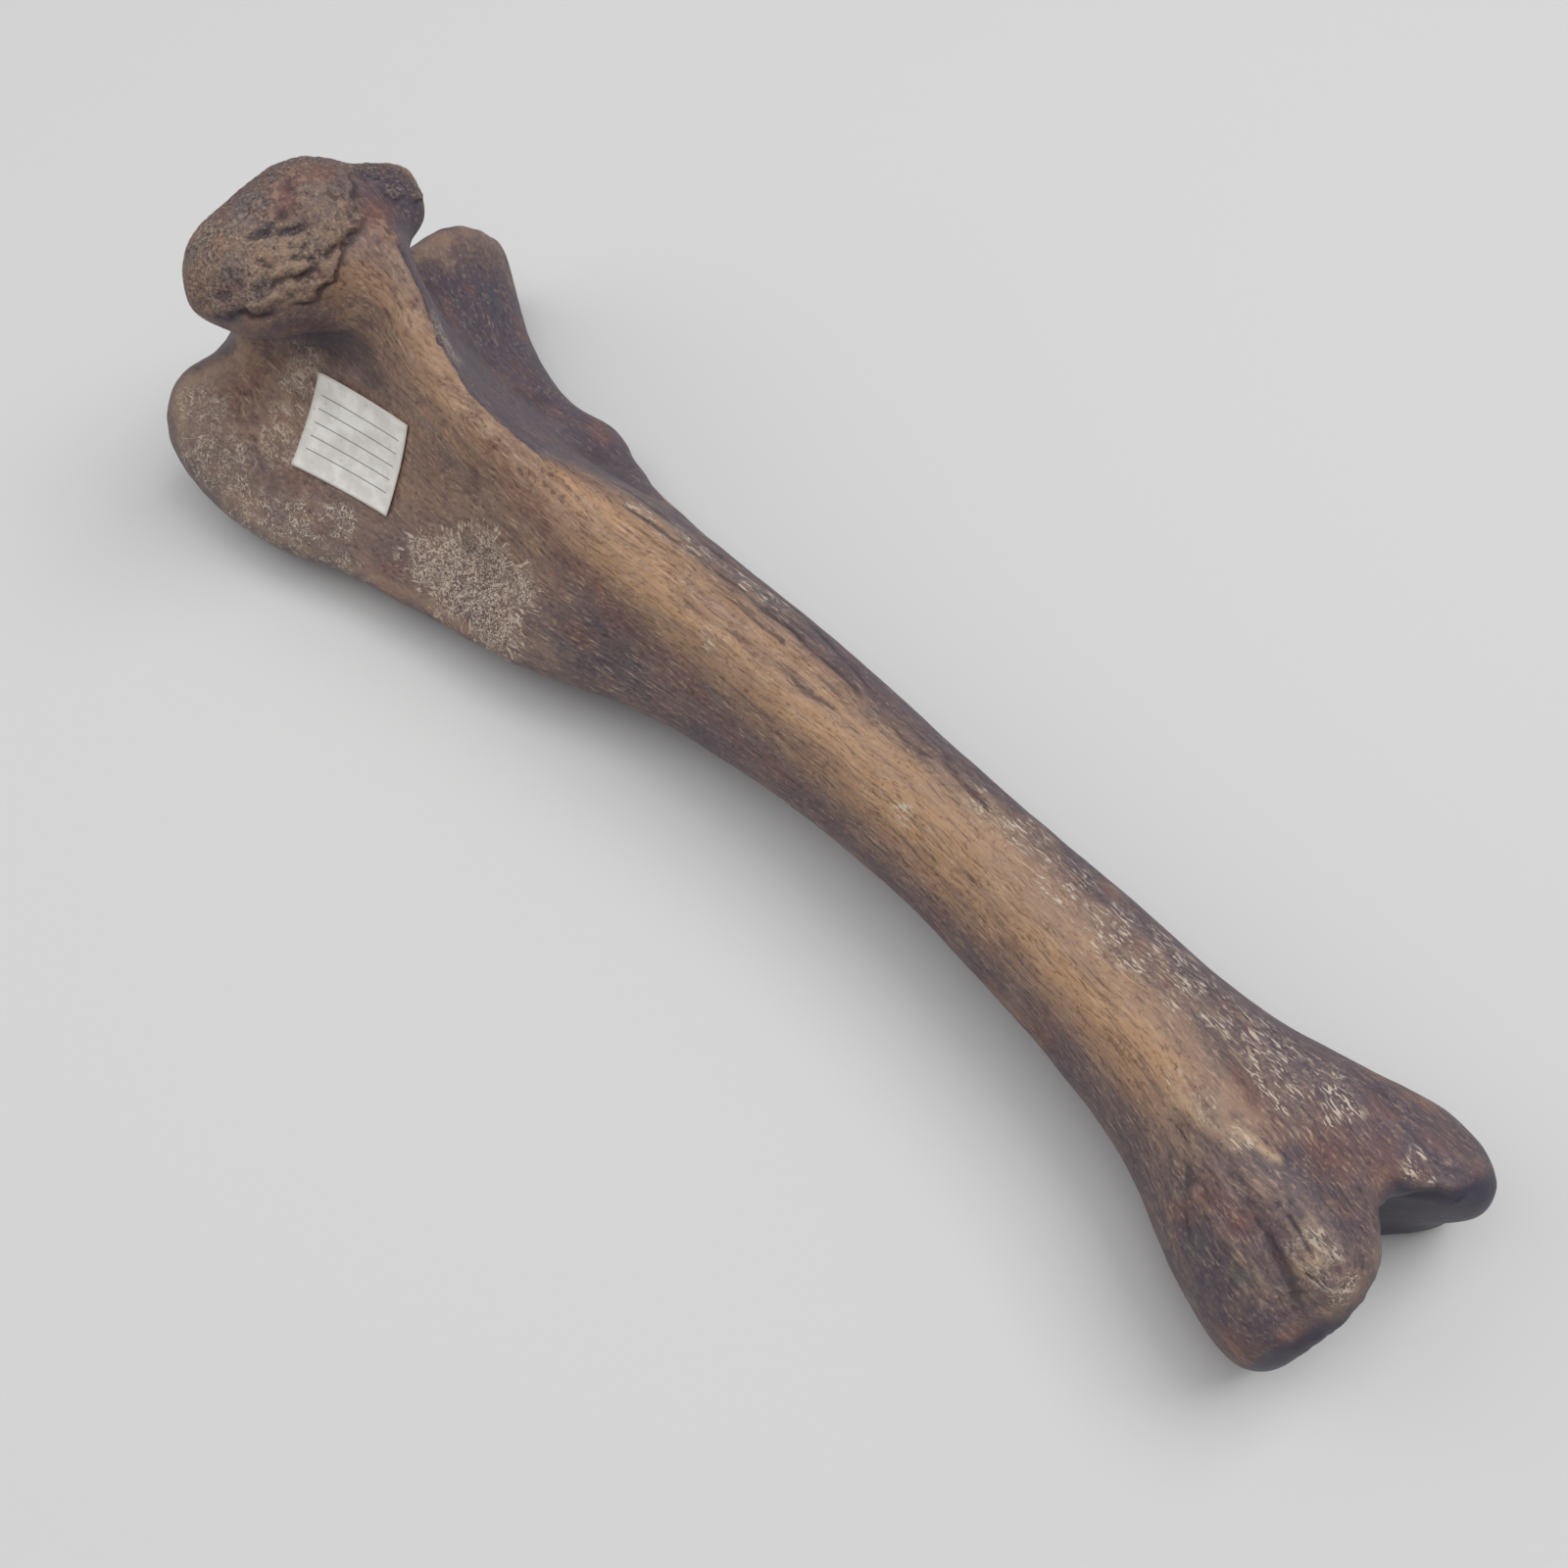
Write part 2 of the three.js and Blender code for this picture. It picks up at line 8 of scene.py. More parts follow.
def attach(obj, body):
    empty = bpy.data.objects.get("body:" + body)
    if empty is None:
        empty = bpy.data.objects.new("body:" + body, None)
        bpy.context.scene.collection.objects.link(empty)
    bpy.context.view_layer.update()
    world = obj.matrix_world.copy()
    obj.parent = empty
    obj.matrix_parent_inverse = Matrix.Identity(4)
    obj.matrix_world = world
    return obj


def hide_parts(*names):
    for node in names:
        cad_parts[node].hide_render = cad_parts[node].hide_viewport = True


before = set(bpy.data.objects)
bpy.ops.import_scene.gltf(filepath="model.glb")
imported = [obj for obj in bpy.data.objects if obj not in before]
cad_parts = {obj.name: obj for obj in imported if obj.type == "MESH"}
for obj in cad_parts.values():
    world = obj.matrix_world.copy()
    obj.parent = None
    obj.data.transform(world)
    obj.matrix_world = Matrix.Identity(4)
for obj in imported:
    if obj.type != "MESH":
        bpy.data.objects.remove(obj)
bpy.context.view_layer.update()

# The tibia is one solid fossil bone, dense and heavy, stained brown by the silt that it lay in.
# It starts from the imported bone, smoothed and made fine enough to cut the surface relief into,
# and finer still where the real one is rough: knob, crest lines and the front of the ankle end.
BONE_ZERO = np.array((-160.537, 2.706, -2.400))  # where the bone's own millimetres start in the frame
FINER_BALLS = [((26, -9, 76), 25), ((27, 9, 70), 12), ((305, -13, 41), 16), ((319, 16, 32), 7)]
FINER_LINES = [
    ([(41, -4, 78), (60, -4, 68), (84, -8, 58), (104, -6, 54)], 4),
    ([(100, -4, 54), (135, -2, 50), (176, 3, 46)], 3.6),
    ([(102, 0, 53), (141, 7, 48), (197, 8, 45)], 3),
    ([(272, -13, 34), (297, -23, 32)], 3),
]


def from_line(places, line):
    """How far each place is from a line of points, in millimetres."""
    gap = np.full(len(places), 1e9)
    for start, end in zip(line, line[1:]):
        start, run = np.array(start, float), np.subtract(end, start).astype(float)
        share = np.clip((places - start) @ run / (run @ run), 0, 1)
        gap = np.minimum(gap, np.linalg.norm(places - start - share[:, None] * run, axis=1))
    return gap


tibia = bpy.data.objects.new("fossil_tibia", bpy.data.meshes.new("fossil_tibia"))
bpy.context.scene.collection.objects.link(tibia)
shape = bmesh.new()
shape.from_mesh(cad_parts["tibia"].data)
bmesh.ops.remove_doubles(shape, verts=shape.verts, dist=0.00002)
bmesh.ops.join_triangles(shape, faces=shape.faces, angle_face_threshold=0.8, angle_shape_threshold=1.2)
bmesh.ops.recalc_face_normals(shape, faces=shape.faces)
shape.to_mesh(tibia.data)
shape.free()
for extra in [a.name for a in tibia.data.attributes if a.name in ("UVMap", "custom_normal", "sharp_face", "sharp_edge")]:
    tibia.data.attributes.remove(tibia.data.attributes[extra])
skin = tibia.modifiers.new("skin", "SUBSURF")
skin.levels = skin.render_levels = 2
rounded = bpy.data.meshes.new_from_object(tibia.evaluated_get(bpy.context.evaluated_depsgraph_get()))
tibia.modifiers.clear()
tibia.data = rounded

shape = bmesh.new()
shape.from_mesh(rounded)
places = np.array([v.co for v in shape.verts]) * 1000 - BONE_ZERO
wanted = np.zeros(len(places), bool)
for centre, reach in FINER_BALLS:
    wanted |= np.linalg.norm(places - centre, axis=1) < reach
wanted &= (places[:, 2] > 60) | (places[:, 0] > 100)
for line, reach in FINER_LINES:
    wanted |= from_line(places, line) < reach
shape.edges.ensure_lookup_table()
close = [e for e in shape.edges if wanted[e.verts[0].index] and wanted[e.verts[1].index]]
bmesh.ops.subdivide_edges(shape, edges=close, cuts=1, use_grid_fill=True)
shape.to_mesh(tibia.data)
shape.free()
tibia.data.update()

skin_count = len(tibia.data.vertices)
places = np.empty(skin_count * 3, np.float32)
tibia.data.vertices.foreach_get("co", places)
places = places.reshape(-1, 3).astype(float) * 1000 - BONE_ZERO
outward = np.empty(skin_count * 3, np.float32)
tibia.data.vertex_normals.foreach_get("vector", outward)
outward = outward.reshape(-1, 3).astype(float)
lift = np.zeros(skin_count)  # how far each place of the skin moves outwards, mm
painted_shade_lines = np.zeros(skin_count)  # painted shade in creases, under ledges, in cuts, furrows and holes, 0 to 1


def ease(low, high, value):
    """0 below low, 1 above high, and smooth between."""
    share = np.clip((value - low) / (high - low), 0, 1)
    return share * share * (3 - 2 * share)


def lumps(at, size, seed, where=None):
    """Smooth noise from -1 to 1 with lumps of about this size in millimetres, only where it is wanted."""
    told = np.zeros(len(at))
    chosen = np.arange(len(at)) if where is None else np.flatnonzero(where)
    shift = Vector((seed * 7.31, seed * 3.17, seed * 5.93))
    told[chosen] = [noise.noise(Vector(at[k]) / size + shift) for k in chosen]
    return told


def pebbles(at, size, seed, where):
    """Rounded grains of this size, 1 at the top of a grain and about 0 in the pits between."""
    told = np.zeros(len(at))
    shift = Vector((seed * 2.9, seed * 8.3, seed * 4.7))
    chosen = np.flatnonzero(where)
    told[chosen] = [1 - 1.15 * noise.voronoi(Vector(at[k]) / size + shift)[0][0] for k in chosen]
    return told


# The knob's front is a raised plate of coarse granular bone, where the knee's ligaments were fixed.
# It ends in two ragged ledges over the smooth crest below, and a hollow and a few creases part its mounds.
OUTER_LEDGE = [
    (20, -38, 64), (26, -36, 66), (30, -34, 68), (33, -31, 70), (36.5, -28, 69.5), (39, -24.5, 70), (40.5, -20, 69.5),
    (41, -17, 71), (41.5, -12, 73), (40.5, -8, 76), (38.5, -2.5, 78), (36, 0.5, 78.5), (31, 3, 78.5),
    (26.5, 4.5, 79), (24, 7, 77), (24.5, 9.5, 74), (30, 12, 70), (31, 16.5, 67), (28, 21, 63),
]
INNER_LEDGE = [
    (33.5, -29, 73.5), (35.5, -26.5, 74), (36.5, -23, 75.5), (38.5, -19, 75), (39.5, -16, 75.5),
    (40, -13, 76.5), (39.5, -10, 77.5), (40, -7, 78),
]
DOWN_THE_CREST = (0.7, 0, -0.7)
RIM_BELOW = ([-36, -10, 6, 18], [61, 64, 67, 64])
CREASES = [
    ([(23, -7.5, 82.5), (25, -9, 82), (28, -12, 81.5)], 2.0, 0.75),
    ([(28, -13, 81.5), (29, -17.5, 80.5), (28, -21, 80)], 1.0, 0.8),
    ([(34.5, -9, 81), (33.5, -13, 80.5), (31, -16, 80), (29.5, -18.5, 80)], 1.1, 0.9),
    ([(26, 7, 78), (29, 5, 78)], 0.9, 0.6),
    ([(38.5, -14.5, 77), (36.5, -17, 77.5)], 0.8, 0.6),
]
MOUNDS = [((36, -8, 80), 4.5, 0.7), ((34.5, -20, 78), 5, 0.8), ((22, -19, 80), 7, 0.5), ((29, -2, 82), 4, 0.5)]


def side_of(places, line, way):
    """How far each place is from a line of points, minus on the side that the way points to."""
    gap, side = np.full(len(places), 1e9), np.ones(len(places))
    for start, end in zip(line, line[1:]):
        start, run = np.array(start, float), np.subtract(end, start).astype(float)
        share = np.clip((places - start) @ run / (run @ run), 0, 1)
        off = places - start - share[:, None] * run
        far = np.linalg.norm(off, axis=1)
        side = np.where(far < gap, -np.sign(off @ np.array(way)), side)
        gap = np.minimum(gap, far)
    return gap * side


x, y, z = places.T
near_knob = (x < 56) & (z > 56)
ragged = 1.9 * lumps(places, 4.6, 1, near_knob) + 1.0 * lumps(places, 1.9, 2, near_knob)
below = (z - np.interp(y, *RIM_BELOW)) * 0.8 + 1.6 * lumps(places, 4.5, 3, near_knob)
inside_rim = np.where(near_knob, np.minimum(side_of(places, OUTER_LEDGE, DOWN_THE_CREST) + ragged, below), -20)
plate = ease(-0.3, 0.9, inside_rim)
on_plate = plate > 0.01
ledge_deep = (0.3 + 0.7 * ease(-0.2, 0.3, lumps(places, 6, 7, near_knob))) * ease(24, 30, x)
lift += 0.9 * ease(-0.5, 0.5, inside_rim) * ease(6, 1.5, inside_rim) * ledge_deep
lift -= 0.55 * np.exp(-(((inside_rim + 0.8) / 0.8) ** 2)) * ledge_deep * near_knob
inside_lip = np.where(near_knob, side_of(places, INNER_LEDGE, DOWN_THE_CREST) + ragged * 0.8, 20)
lip_span = ease(-29.5, -25, y) * ease(-6, -9, y) * ease(67, 69, z) * near_knob
lip_deep = lip_span * (0.15 + 0.85 * ease(-0.15, 0.3, lumps(places, 4.5, 8, near_knob)))
lift += 0.8 * ease(-0.5, 0.4, inside_lip) * ease(6, 1.5, inside_lip) * lip_deep
lift -= 0.5 * np.exp(-(((inside_lip + 0.7) / 0.75) ** 2)) * lip_deep
smooth_lip = ease(0.3, -0.5, inside_lip) * lip_span * plate
front_lumps = ease(24, 32, x) * ease(9, 2, y)
lift += plate * (0.3 + 0.7 * front_lumps) * (0.55 * lumps(places, 5.5, 4, on_plate) + 0.5 * lumps(places, 2.4, 5, on_plate))
lift += plate * (1 - 0.4 * smooth_lip) * 0.24 * (pebbles(places, 1.5, 1, on_plate) - 0.4)
for centre, reach, rise in MOUNDS:
    lift += rise * plate * np.exp(-((np.linalg.norm(places - centre, axis=1) / reach) ** 2))
for line, width, depth in CREASES:
    cut = np.exp(-((from_line(places, line) / width) ** 2)) * near_knob
    lift -= depth * cut * (0.8 + 0.5 * lumps(places, 2.2, 6, cut > 0.02))
    # Painted shade in the fine creases.
    painted_shade_lines = np.maximum(painted_shade_lines, 0.4 * cut * (width < 1.5))
# Painted shade under the inner ledge and at the foot of the outer ledge, where the plate overhangs.
painted_shade_lines = np.maximum(painted_shade_lines, 0.55 * np.exp(-(((inside_lip + 0.6) / 0.7) ** 2)) * lip_deep)
painted_shade_lines = np.maximum(painted_shade_lines, 0.45 * np.exp(-(((inside_rim + 0.7) / 0.7) ** 2)) * ledge_deep * near_knob)

# The crest runs down from the knob as a rough edge, and muscle lines run beside it along the upper shaft.
# They are shallow cuts in the bone with low banks, darker than the skin around them.
CREST_EDGE = [
    (42, 4.5, 73), (45, 2, 74.5), (49.5, 1, 72.5), (54, 0, 69), (58, -1.5, 66), (63.5, -3.5, 64),
    (69.5, -5, 62), (75.5, -6, 60), (81, -6, 58.5), (86.5, -5.5, 57.5), (93, -4.5, 55.5), (99, -4, 55.5),
]
CREST = [(41, 3, 76), (52, -1, 72), (59, -4, 68), (66, -4, 66), (72, -6, 63), (84, -8, 58), (96, -7, 56), (108, -5, 54)]
MUSCLE_LINES = [
    ([(88, -6, 58), (100, -5, 55), (112, -5, 53), (123, -4, 52), (135, -4, 50), (146, -3, 49), (155, -1, 48), (166, 0, 47), (178, 2, 46)], 0.9, 0.5),
    ([(92, -1, 56), (102, 0, 53), (115, 3, 51), (128, 5, 49), (141, 7, 48), (153, 9, 46), (168, 9, 45), (182, 9, 45), (197, 8, 45)], 1.1, 0.65),
    ([(98, 5, 50), (112, 9, 44), (126, 9, 45), (138, 13, 43), (150, 16, 40), (166, 14, 42), (182, 11, 43), (196, 11, 43), (214, 9, 44)], 0.9, 0.5),
    ([(108, -1, 52), (120, 0, 51), (134, 2, 50), (148, 3, 49), (160, 5, 47)], 0.6, 0.3),
]
wander = np.stack([lumps(places, 7, 11), lumps(places, 7, 12), lumps(places, 7, 13)], axis=1)
crest_gap = from_line(places, CREST)
on_crest = np.exp(-((crest_gap / 4.5) ** 2))
inside_edge = side_of(places, CREST_EDGE, (0, 1, 0)) + 0.5 * lumps(places, 2.6, 9, crest_gap < 12)
edge_span = ease(41, 47, x) * ease(106, 92, x) * ease(46, 50, z)
lift += edge_span * (0.55 * np.exp(-(((inside_edge - 0.8) / 1.1) ** 2)) - 0.35 * np.exp(-(((inside_edge + 1.1) / 1.0) ** 2)))
lift += on_crest * (0.35 * lumps(places, 3.1, 14, on_crest > 0.02) + 0.2 * lumps(places, 1.5, 15, on_crest > 0.02))
lift += 0.7 * np.exp(-(from_line(places, [(83, -8, 58), (86, -8, 58)]) / 2) ** 2)
down_crest = np.stack([x + 0.9 * (z - 60), y - 0.2 * (x - 60), z + 0.55 * (x - 60)], axis=1)
crest_face = ease(38, 44, x) * ease(118, 100, x) * np.exp(-((crest_gap / 9) ** 4)) * ease(-1, 1, inside_edge)
lift += crest_face * 0.32 * lumps(down_crest * (0.10, 1, 1) + 0.3 * wander, 1.5, 24, crest_face > 0)
lift += crest_face * 0.14 * lumps(places, 1.3, 25, crest_face > 0)
for line, width, depth in MUSCLE_LINES:
    gap = from_line(places + 0.9 * wander, line)
    held = np.clip(0.65 + 0.7 * lumps(places, 16, 16, gap < 6), 0.1, 1)
    lift += 0.6 * depth * (0.5 * np.exp(-(((gap - 2.2) / 1.2) ** 2)) - np.exp(-((gap / width) ** 2))) * held
    # Painted shade along the middle of each muscle line's cut.
    painted_shade_lines = np.maximum(painted_shade_lines, 0.62 * np.exp(-((gap / (0.7 * width)) ** 2)) * held)
streaky = ease(10, 4, from_line(places, [(96, -2, 55), (150, 3, 48), (205, 4, 44)]))
lift += streaky * 0.3 * lumps((places + 1.5 * wander) * (0.07, 1, 0.6), 1.7, 17, streaky > 0)

# The ankle end is furrowed and pebbly in front of its inner lobe, with one drying crack in the lump over the joint.
# The furrows follow the bone's grain down to the joint's rim, beside a smooth hollow.
FURROWS = [
    ([(305, -11, 44.5), (307.5, -12, 44), (309.5, -12.5, 44), (312.5, -13, 43.5)], 0.6, 0.6),
    ([(299, -13.5, 42), (303.5, -15, 41), (307.5, -16.5, 40), (311, -17.5, 39), (314.5, -18, 37)], 1.3, 0.6),
    ([(281, -11, 40.5), (284, -12.5, 40), (286.5, -15, 38.5), (289.5, -18.5, 35), (294, -22, 32)], 1.2, 0.5),
    ([(289, -15.5, 39), (295, -17, 40), (300.5, -17.5, 40.5)], 2.6, 0.6),
    ([(309, -7, 43), (313, -8, 42), (317, -9, 41)], 0.6, 0.5),
    ([(294, -3, 43), (299, -3, 43), (305, -4, 43)], 0.9, 0.35),
    ([(298, -9, 44), (302.5, -10.5, 44.5)], 0.7, 0.4),
    ([(313.5, -15.5, 41), (317, -14.5, 40.5)], 0.6, 0.6),
]
TAN_STREAKS = [
    ([(276.5, -8, 42), (283, -8, 43), (289.5, -8.5, 44)], 1.3),
    ([(289, -6, 44.5), (293, -5.5, 44.5), (297, -5, 44.5)], 1.1),
]
ARCH = [
    (314.5, 2.5, 37.5), (315, 6.5, 34.5), (316.5, 11.5, 32), (318.5, 14.5, 33), (320.5, 16.5, 34),
    (322.5, 18, 33), (324.5, 19, 33), (327.5, 21, 29),
]
near_ankle = (x > 262) & (z > 14)
for line, width, depth in FURROWS:
    gap = from_line(places + 0.7 * wander, line)
    held = np.clip(0.6 + 0.8 * lumps(places, 5, 18, near_ankle & (gap < 5)), 0.15, 1)
    held = np.maximum(held, width < 0.65)
    lift -= depth * np.exp(-((gap / width) ** 2)) * near_ankle * held
    # Painted shade in the narrower furrows.
    if width < 2:
        painted_shade_lines = np.maximum(painted_shade_lines, 0.42 * np.exp(-((gap / (width * 0.8)) ** 2)) * near_ankle * held)
into_arch = side_of(places, ARCH, (1, 0, -0.3)) + 0.3 * lumps(places, 2.2, 26, near_ankle)
arch_near = near_ankle * ease(304, 310, x) * ease(3, 8, y) * ease(326, 321, x) * ease(27, 31, z)
lift += arch_near * (0.5 * np.exp(-(((into_arch - 0.9) / 1.1) ** 2)) - 0.6 * np.exp(-(((into_arch + 1.5) / 1.4) ** 2)))
# Painted shade just inside the arch's rim, where the groove lies in shade.
painted_shade_lines = np.maximum(painted_shade_lines, 0.3 * arch_near * np.exp(-(((into_arch + 1.1) / 1.0) ** 2)))
tan_streaks = np.zeros(skin_count)
for line, width in TAN_STREAKS:
    tan_streaks = np.maximum(tan_streaks, np.exp(-((from_line(places + 0.7 * wander, line) / width) ** 2)))
lift += 0.3 * tan_streaks
spread = places - np.outer(places[:, 0] - 262, (0, -0.28, 0))
grained = near_ankle * ease(268, 290, x) * ease(3, -5, y) * ease(24, 32, z)
lift += grained * (0.24 * lumps(spread * (0.16, 1, 1), 2.3, 19, grained > 0) + 0.15 * lumps(spread * (0.2, 1, 1), 1.1, 20, grained > 0))
ankle_rough = np.exp(-((from_line(places, [(305, -12, 43), (316, -13, 41)]) / 6) ** 2)) * near_ankle
inner_lobe = ease(298, 312, x) * ease(-2, -10, y) * ease(18, 26, z) * 0.5
ankle_rough = np.maximum(ankle_rough, inner_lobe)
rough_there = ankle_rough > 0.02
lift += ankle_rough * (0.32 * lumps(places, 3.2, 21, rough_there) + 0.34 * lumps(places, 1.6, 22, rough_there))

# On the back are the popliteal line, which crosses slantwise, rough lines beside it, and one blood-vessel hole.
# Smaller holes open between the knee's joint faces, under the crest's lip and beside the ankle.
BACK_LINES = [
    ([(38, 24, 9), (60, 18, 9), (84, 8, 8), (108, -4, 9), (132, -14, 12)], 1.6, 0.8),
    ([(72, 20, 9), (98, 12, 9), (128, 4, 9), (160, -2, 11)], 1.1, 0.5),
    ([(92, 21, 12), (120, 14, 11), (150, 8, 11), (184, 4, 12)], 1.0, 0.5),
    ([(112, 20, 14), (142, 15, 13), (172, 10, 13), (204, 8, 13)], 0.9, 0.4),
    ([(100, -8, 9), (128, -8, 10), (156, -8, 12)], 0.9, 0.35),
]
HOLES = [
    ((63.5, -2.5, 63.5), 0.75, 1.5), ((103, 12, 9), 2.2, 3.0), ((6, 2, 44), 0.6, 0.7), ((8, -6, 47), 0.4, 0.5),
    ((9, 8, 46), 0.5, 0.5), ((300, 12, 8), 0.8, 1.0), ((292, -8, 9), 0.9, 0.9),
]
behind = z < 24
for line, width, depth in BACK_LINES:
    gap = np.abs(from_line((places + 2.0 * wander) * (1, 1, 0.3), [(a, b, c * 0.3) for a, b, c in line]))
    bank = np.exp(-((gap / width) ** 2)) * behind * ease(-0.2, -0.6, outward[:, 2])
    lift += depth * bank * (0.9 + 0.5 * lumps(places, 6, 23, bank > 0.02))
    beside = np.exp(-(((gap - 1.9 * width) / width) ** 2)) * behind * ease(-0.2, -0.6, outward[:, 2])
    # Painted shade in the hollow beside each raised line.
    painted_shade_lines = np.maximum(painted_shade_lines, 0.5 * beside)
for centre, reach, depth in HOLES:
    gap = np.linalg.norm(places - centre, axis=1)
    gap = gap - gap.min()
    lift -= depth * np.exp(-((gap / reach) ** 3))
    # Painted shade in the holes.
    painted_shade_lines = np.maximum(painted_shade_lines, np.exp(-((gap / (reach * 1.05)) ** 3)))

# The skin between is gently uneven, and the skin under the label is left even. The three resting spots stay flat
# on the table: the two condyles' back rims and the back of the ankle end.
LABEL_SPOT = [(42, -27, 38), (63, -22, 38)]
under_label = np.exp(-((from_line(places, LABEL_SPOT) / 15) ** 6))
lift += 0.25 * lumps(places, 13, 31) + 0.10 * lumps(places, 5, 32)
knee_skin = ease(48, 34, x) * (1 - plate)
lift += 0.14 * knee_skin * lumps(places * (0.6, 1, 1), 2.4, 33, knee_skin > 0)
lift *= 1 - 0.9 * under_label
places += outward * lift[:, None]
height = places[:, 2] + BONE_ZERO[2]
places[:, 2] = np.maximum(height - 0.45 * ease(1.3, 0.4, height), 0) - BONE_ZERO[2]
tibia.data.vertices.foreach_set("co", ((places + BONE_ZERO) / 1000).astype(np.float32).ravel())
tibia.data.update()
tibia.data.shade_smooth()

# Stains, marks and painted shade on the bone are kept as shares on its skin: gold along the crest and front, purplish
# brown on the sides that is partly stain and partly painted shade on faces turned sideways or down, red-brown along the
# gold's edges, blue-black manganese spots, cream marks that rootlets etched, and painted shade in creases and dips.
GOLD_LINE = [
    (44, -11, 70), (53, -9, 64), (66, -9, 60), (82, -9, 54), (100, -5, 53), (118, -5, 51), (135, -5, 49), (152, -4, 48),
    (167, -3, 46), (183, -2, 43), (199, -2, 42), (215, -2, 42), (231, -2, 42), (247, -3, 42), (262, -5, 42), (277, -7, 42),
]
GOLD_WIDTH = [11, 11, 10, 9, 9, 9, 9, 9, 9.5, 9.5, 10, 10, 10, 9.5, 8.5, 6.5]
RED_LINE = [
    (81, -12, 55), (104, -13, 48), (130, -14, 41), (141, -13, 38), (153, -13, 35), (164, -13, 32), (188, -12, 28),
    (208, -12, 26), (230, -12, 24), (252, -13, 27),
]
ETCH_SPOTS = [
    ((16, -42, 32), 6), ((20, -46, 26), 7), ((27, -45, 24), 7), ((36, -48, 18), 7), ((44, -46, 18), 7), ((50, -42, 20), 6),
    ((34, -26, 43), 4), ((36, -30, 37), 5), ((37, -34, 32), 5), ((34, -21, 48), 4), ((57, -36, 24), 4),
    ((60, 3, 63), 4), ((64, 2, 60), 4), ((117, 5, 49), 3), ((124, 7, 48), 4), ((131, 8, 47), 4), ((142, 11, 45), 4),
    ((150, 12, 44), 4), ((195, -4, 42), 1.8), ((203, -3, 42), 2.2), ((150, -6, 48), 2.5),
    ((213, 10, 44), 4), ((222, 11, 43), 5), ((235, 9, 43), 5), ((250, 9, 43), 6), ((258, 11, 42), 7), ((266, 11, 41), 7),
    ((274, 12, 40), 6), ((284, 12, 39), 7), ((291, 9, 41), 7), ((295, 14, 38), 6), ((276, -6, 43), 2.5), ((283, -6, 44), 2.5),
    ((290, -6, 45), 2.5), ((315, 16, 34), 3), ((322, 18, 18), 4), ((312, -13, 43), 4), ((319, -12, 40), 3),
    ((120, 22, 22), 8), ((160, 20, 24), 6), ((230, 22, 25), 8), ((70, 12, 12), 9), ((180, -6, 12), 8), ((250, 4, 9), 9),
    ((60, -38, 10), 8),
]
STAR_SPOTS = [
    ((85, -25, 28), 6), ((92, -22, 31), 8), ((97, -24, 28), 8), ((102, -27, 23), 7), ((80, -29, 26), 6),
    ((90, -30, 23), 6), ((104, -20, 32), 5),
]
BLUE_SPOTS = [
    ((118, -20, 28), 6), ((128, -18, 29), 7), ((135, -16, 29), 6), ((128, -21, 18), 8), ((243, 5, 44), 3),
    ((249, 6, 44), 3), ((184, 7, 45), 3), ((304, -2, 43), 5), ((299, -2, 43), 4), ((314, -24, 31), 7), ((307, -27, 27), 6),
    ((90, 0, 55), 5), ((108, 8, 46), 5), ((150, 14, 42), 5), ((36, -47, 10), 6), ((25, 13, 72), 6), ((28, 16, 69), 5),
    ((200, 18, 30), 8), ((60, 16, 14), 7), ((31, 30, 30), 8), ((28, -18, 80), 2), ((32, -14, 80), 2),
]
# Painted shade as dark spots: under the knob's inner overhang and beside its outer side, along the low edge of the
# ankle's inner lobe and in the outer groove, with a few spots of real dark stain on the ankle's front.
DUSKY_SHADE_SPOTS = [
    ((309, -27, 26), 7), ((316, -28, 26), 6), ((327, 26, 30), 7), ((322, 29, 27), 7),
    ((312, -30, 22), 9), ((302, -32, 22), 9), ((318, -25, 22), 9), ((322, -16, 24), 7), ((290, -30, 22), 8),
    ((315.5, -13.5, 42.5), 5), ((316, -26, 30), 11), ((304, -26, 30), 8), ((306, -15, 40), 5), ((26, 13, 72), 8),
    ((30, 17, 68), 7), ((322, 24, 33), 12), ((327, 24, 28), 10), ((308, 20, 34), 9), ((296, -24, 32), 9), ((300, -22, 33), 6), ((10, 34, 38), 8), ((30, -34, 64), 7),
]
GREEN_SPOTS = [((293, -12, 42.5), 2.4), ((287, -17.5, 35), 2.2), ((297, -22.5, 32.5), 3), ((306, -22.5, 36), 2.6), ((60, 20, 40), 7)]
RED_SPOTS = [
    ((24, -8.5, 82), 3.2), ((27, -11, 82), 2.6), ((25, -1, 82), 4), ((37, 3, 77), 4.5), ((41, 0, 76), 4.5), ((34, 7, 74), 5),
    ((43, 1, 75), 4), ((303, 6, 40), 8), ((310, 12, 36), 6), ((293, -16.5, 40), 3), ((299, -17, 40.5), 3),
    ((24, -36, 40), 6), ((86, -9, 57), 5), ((319.5, -23, 31.5), 4), ((314, -28, 25), 4), ((284, 2, 43), 5),
]
PALE_SPOTS = [
    ((36, -8, 80), 4.5), ((33, -4, 81.5), 3.5), ((36, -19, 77), 4), ((27, -24, 79), 4),
    ((312, -10.5, 44), 1.8), ((313, -13.5, 43.5), 1.8), ((312, -16, 40.5), 1.6), ((316, -17, 38.5), 1.8),
    ((319.5, -17, 37), 1.4), ((307, -9, 44.5), 2.2), ((84, -8, 58), 2.5),
    ((40, -22, 73), 3), ((164, -3, 47), 1.6), ((24, 27, 38), 2.2), ((26, 32, 35), 2),
]


def near_spots(spots, seed, grain=3.0, ragged=0.35):
    """The share, 0 to 1, of a patch made of soft-edged spots with a ragged outline: mostly stains, and patches of
    painted shade for the dusky spots.
    """
    share = np.zeros(skin_count)
    for centre, reach in spots:
        share = np.maximum(share, np.exp(-((np.linalg.norm(places - centre, axis=1) / reach) ** 2)))
    edge = share > 0.02
    return np.clip(share + ragged * lumps(places, grain, seed, edge) * ease(0.02, 0.3, share), 0, 1)


